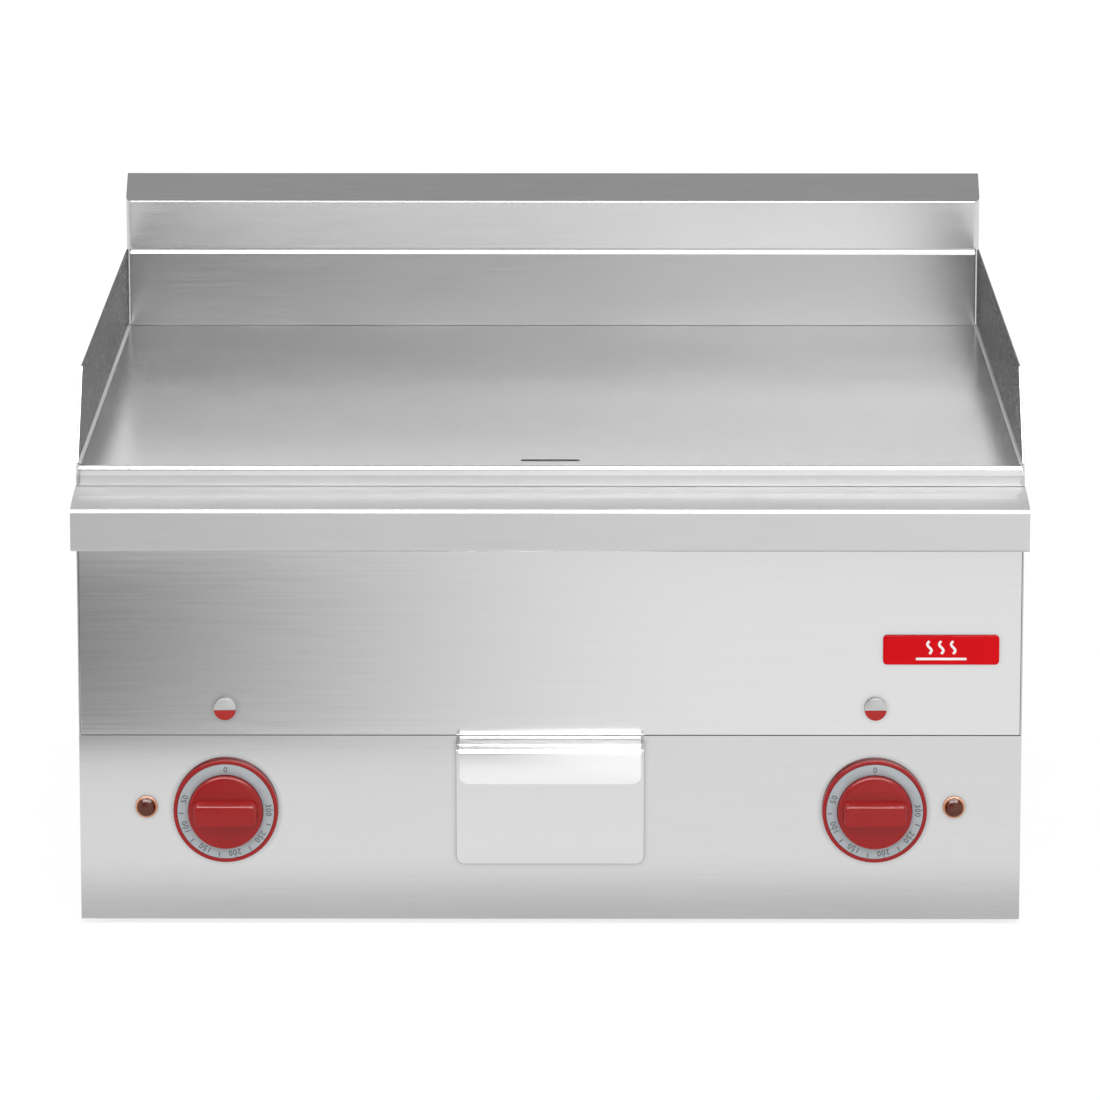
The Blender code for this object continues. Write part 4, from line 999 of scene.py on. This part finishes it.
def floor_paper():
    """White backlit paper with a graduated grey band, which shades the upright sheet."""
    finish = Finish("graduated_paper", Specular_IOR_Level=0.05, Emission_Strength=1.0)
    depth = finish.place("Y")
    speckle = finish.noise(30, detail=3)
    near = finish.graduated(depth, *BAND_NEAR)
    far = finish.graduated(depth, *BAND_FAR)
    left = 1 - finish.graduated(finish.place("X"), *BAND_SIDE)
    shade = near * (1 - far) * left * BAND_SHADE + far * BEYOND_SHADE
    white = (1 - shade) + (speckle - 0.5) * 0.02
    return finish.drive(
        Base_Color=finish.grey(white * PAPER_MATT), Roughness=0.75 + speckle * 0.1,
        Emission_Color=finish.grey(white * PAPER_GLOW),
    )


floor.data.materials.append(floor_paper())
print("floor", tuple(round(side, 1) for side in floor.dimensions), "m")

# %% [markdown]
# A card just out of view stands in for the shadow on the floor at the foot of an upright
# panel: a painted shadow that reflections alone see, and it fades out away from the panel.

# %% Shaded card at the foot of the panel
CARD_LENGTH, CARD_DEPTH, CARD_RISE = 1.4, 0.2, 0.0006
CARD_FADE = (0.18, 0.01)            # ahead of the panel: clear, then at its darkest
CARD_COVER, CARD_GREY = 0.5, 0.34
panel_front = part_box("control_panel")[0].y
bpy.ops.mesh.primitive_plane_add(size=1, location=(0, panel_front - CARD_DEPTH / 2, CARD_RISE))
foot_shadow_card = bpy.context.object
foot_shadow_card.name = "foot_shadow_card"
foot_shadow_card.scale = (CARD_LENGTH, CARD_DEPTH, 1)
place_in_mesh(foot_shadow_card)
foot_shadow_card.visible_camera = foot_shadow_card.visible_diffuse = foot_shadow_card.visible_shadow = False
card = Finish("foot_shadow_card", Specular_IOR_Level=0.0, Emission_Strength=1.0)
fade = card.graduated(card.place("Y"), *(panel_front - ahead for ahead in CARD_FADE))
cover = CARD_COVER * fade
foot_shadow_card.data.materials.append(card.drive(
    Base_Color=(0, 0, 0, 1), Emission_Color=card.grey(CARD_GREY + cover * 0.1), Alpha=cover,
))
print("card darkens the floor's mirror image by up to", CARD_COVER)

# %% [markdown]
# The rear cap and the splash wall mirror what stands behind the cook. A wall there that
# brightens from left to right gives their long smooth gradient.

# %% Graduated wall behind the cook
WALL_PLACE, WALL_WIDTH, WALL_HEIGHT = (0, -6.5, 1.8), 9, 3.6
WALL_GRADIENT, WALL_DIM, WALL_GAIN = (-1.1, 0.7), 0.10, 1.16
bpy.ops.mesh.primitive_plane_add(size=1, location=WALL_PLACE, rotation=(math.pi / 2, 0, 0))
back_wall = bpy.context.object
back_wall.name = "studio_wall"
back_wall.scale = (WALL_WIDTH, WALL_HEIGHT, 1)
place_in_mesh(back_wall)
back_wall.visible_camera = back_wall.visible_diffuse = False
glow = Finish("graduated_wall", Specular_IOR_Level=0.0, Emission_Strength=1.0)
level = glow.graduated(glow.place("X"), *WALL_GRADIENT) * WALL_GAIN + WALL_DIM
back_wall.data.materials.append(
    glow.drive(Base_Color=(0, 0, 0, 1), Emission_Color=glow.grey(level))
)
print("wall brightens from", WALL_DIM, "to", round(WALL_DIM + WALL_GAIN, 2))

# %% [markdown]
# The dome is white near the horizon and grey overhead, so the cap's slope comes out
# darker than its face. One broad soft light draws the bright line along each fold, and a
# wide sun fills the plastics, whose colour comes from matt light and not from mirroring.

# %% Sky dome and soft lights


DOME_STOPS = ((0.15, 1.0), (0.75, 0.38))    # height on the dome, and its level


def dome_light():
    """A world that is white round the horizon and grey overhead."""
    world = bpy.data.worlds.new("studio_dome")
    world.use_nodes = True
    tree = world.node_tree
    background = tree.nodes["Background"]
    direction = tree.nodes.new("ShaderNodeTexCoord")
    split = tree.nodes.new("ShaderNodeSeparateXYZ")
    ramp = tree.nodes.new("ShaderNodeValToRGB")
    for stop, (height, level) in zip(ramp.color_ramp.elements, DOME_STOPS):
        stop.position, stop.color = height, (level, level, level, 1)
    tree.links.new(direction.outputs["Generated"], split.inputs["Vector"])
    tree.links.new(split.outputs["Z"], ramp.inputs["Fac"])
    tree.links.new(ramp.outputs["Color"], background.inputs["Color"])
    background.inputs["Strength"].default_value = 1.0
    bpy.context.scene.world = world


def soft_light(name, place, aim, width, height, power):
    """A rectangular soft light turned towards a point, which only gloss picks up."""
    lamp = bpy.data.lights.new(name, "AREA")
    lamp.shape = "RECTANGLE"
    lamp.size, lamp.size_y, lamp.energy = width, height, power
    holder = bpy.data.objects.new(name, lamp)
    holder.visible_diffuse = False
    holder.location = place
    holder.rotation_euler = (Vector(aim) - Vector(place)).to_track_quat("-Z", "Y").to_euler()
    bpy.context.scene.collection.objects.link(holder)


def matt_fill(energy):
    """Even light from above for the floor and the plastics, which the metal doesn't mirror."""
    lamp = bpy.data.lights.new("matt_fill", "SUN")
    lamp.energy, lamp.angle = energy, math.radians(80)
    holder = bpy.data.objects.new("matt_fill", lamp)
    holder.rotation_euler = (math.radians(18), 0, 0)
    holder.visible_glossy = False
    bpy.context.scene.collection.objects.link(holder)


dome_light()
matt_fill(1.9)
soft_light("front_overhead", (0.0, -1.25, 2.3), (0, 0, 0.30), 3.6, 2.0, 230)
print(len(bpy.data.lights), "lights and a dome")

# %% [markdown]
# A long lens from well in front keeps the verticals almost parallel. It looks down a
# little, enough to see the whole plate between the guards.

# %% Camera
VIEWPOINT = Vector((0.014, -4.538, 1.134))
AIM = Vector((0.0, -0.300, 0.2507))
eye = bpy.data.cameras.new("front_view")
eye.lens = 226.6
eye.sensor_width = 36.0
viewer = bpy.data.objects.new("front_view", eye)
viewer.location = VIEWPOINT
viewer.rotation_euler = (AIM - VIEWPOINT).to_track_quat("-Z", "Y").to_euler()
bpy.context.scene.collection.objects.link(viewer)
bpy.context.scene.camera = viewer
bpy.context.scene.view_settings.view_transform = "Standard"
drop = math.degrees(math.asin((VIEWPOINT - AIM).normalized().z))
print("camera looks down", round(drop, 1), "degrees")
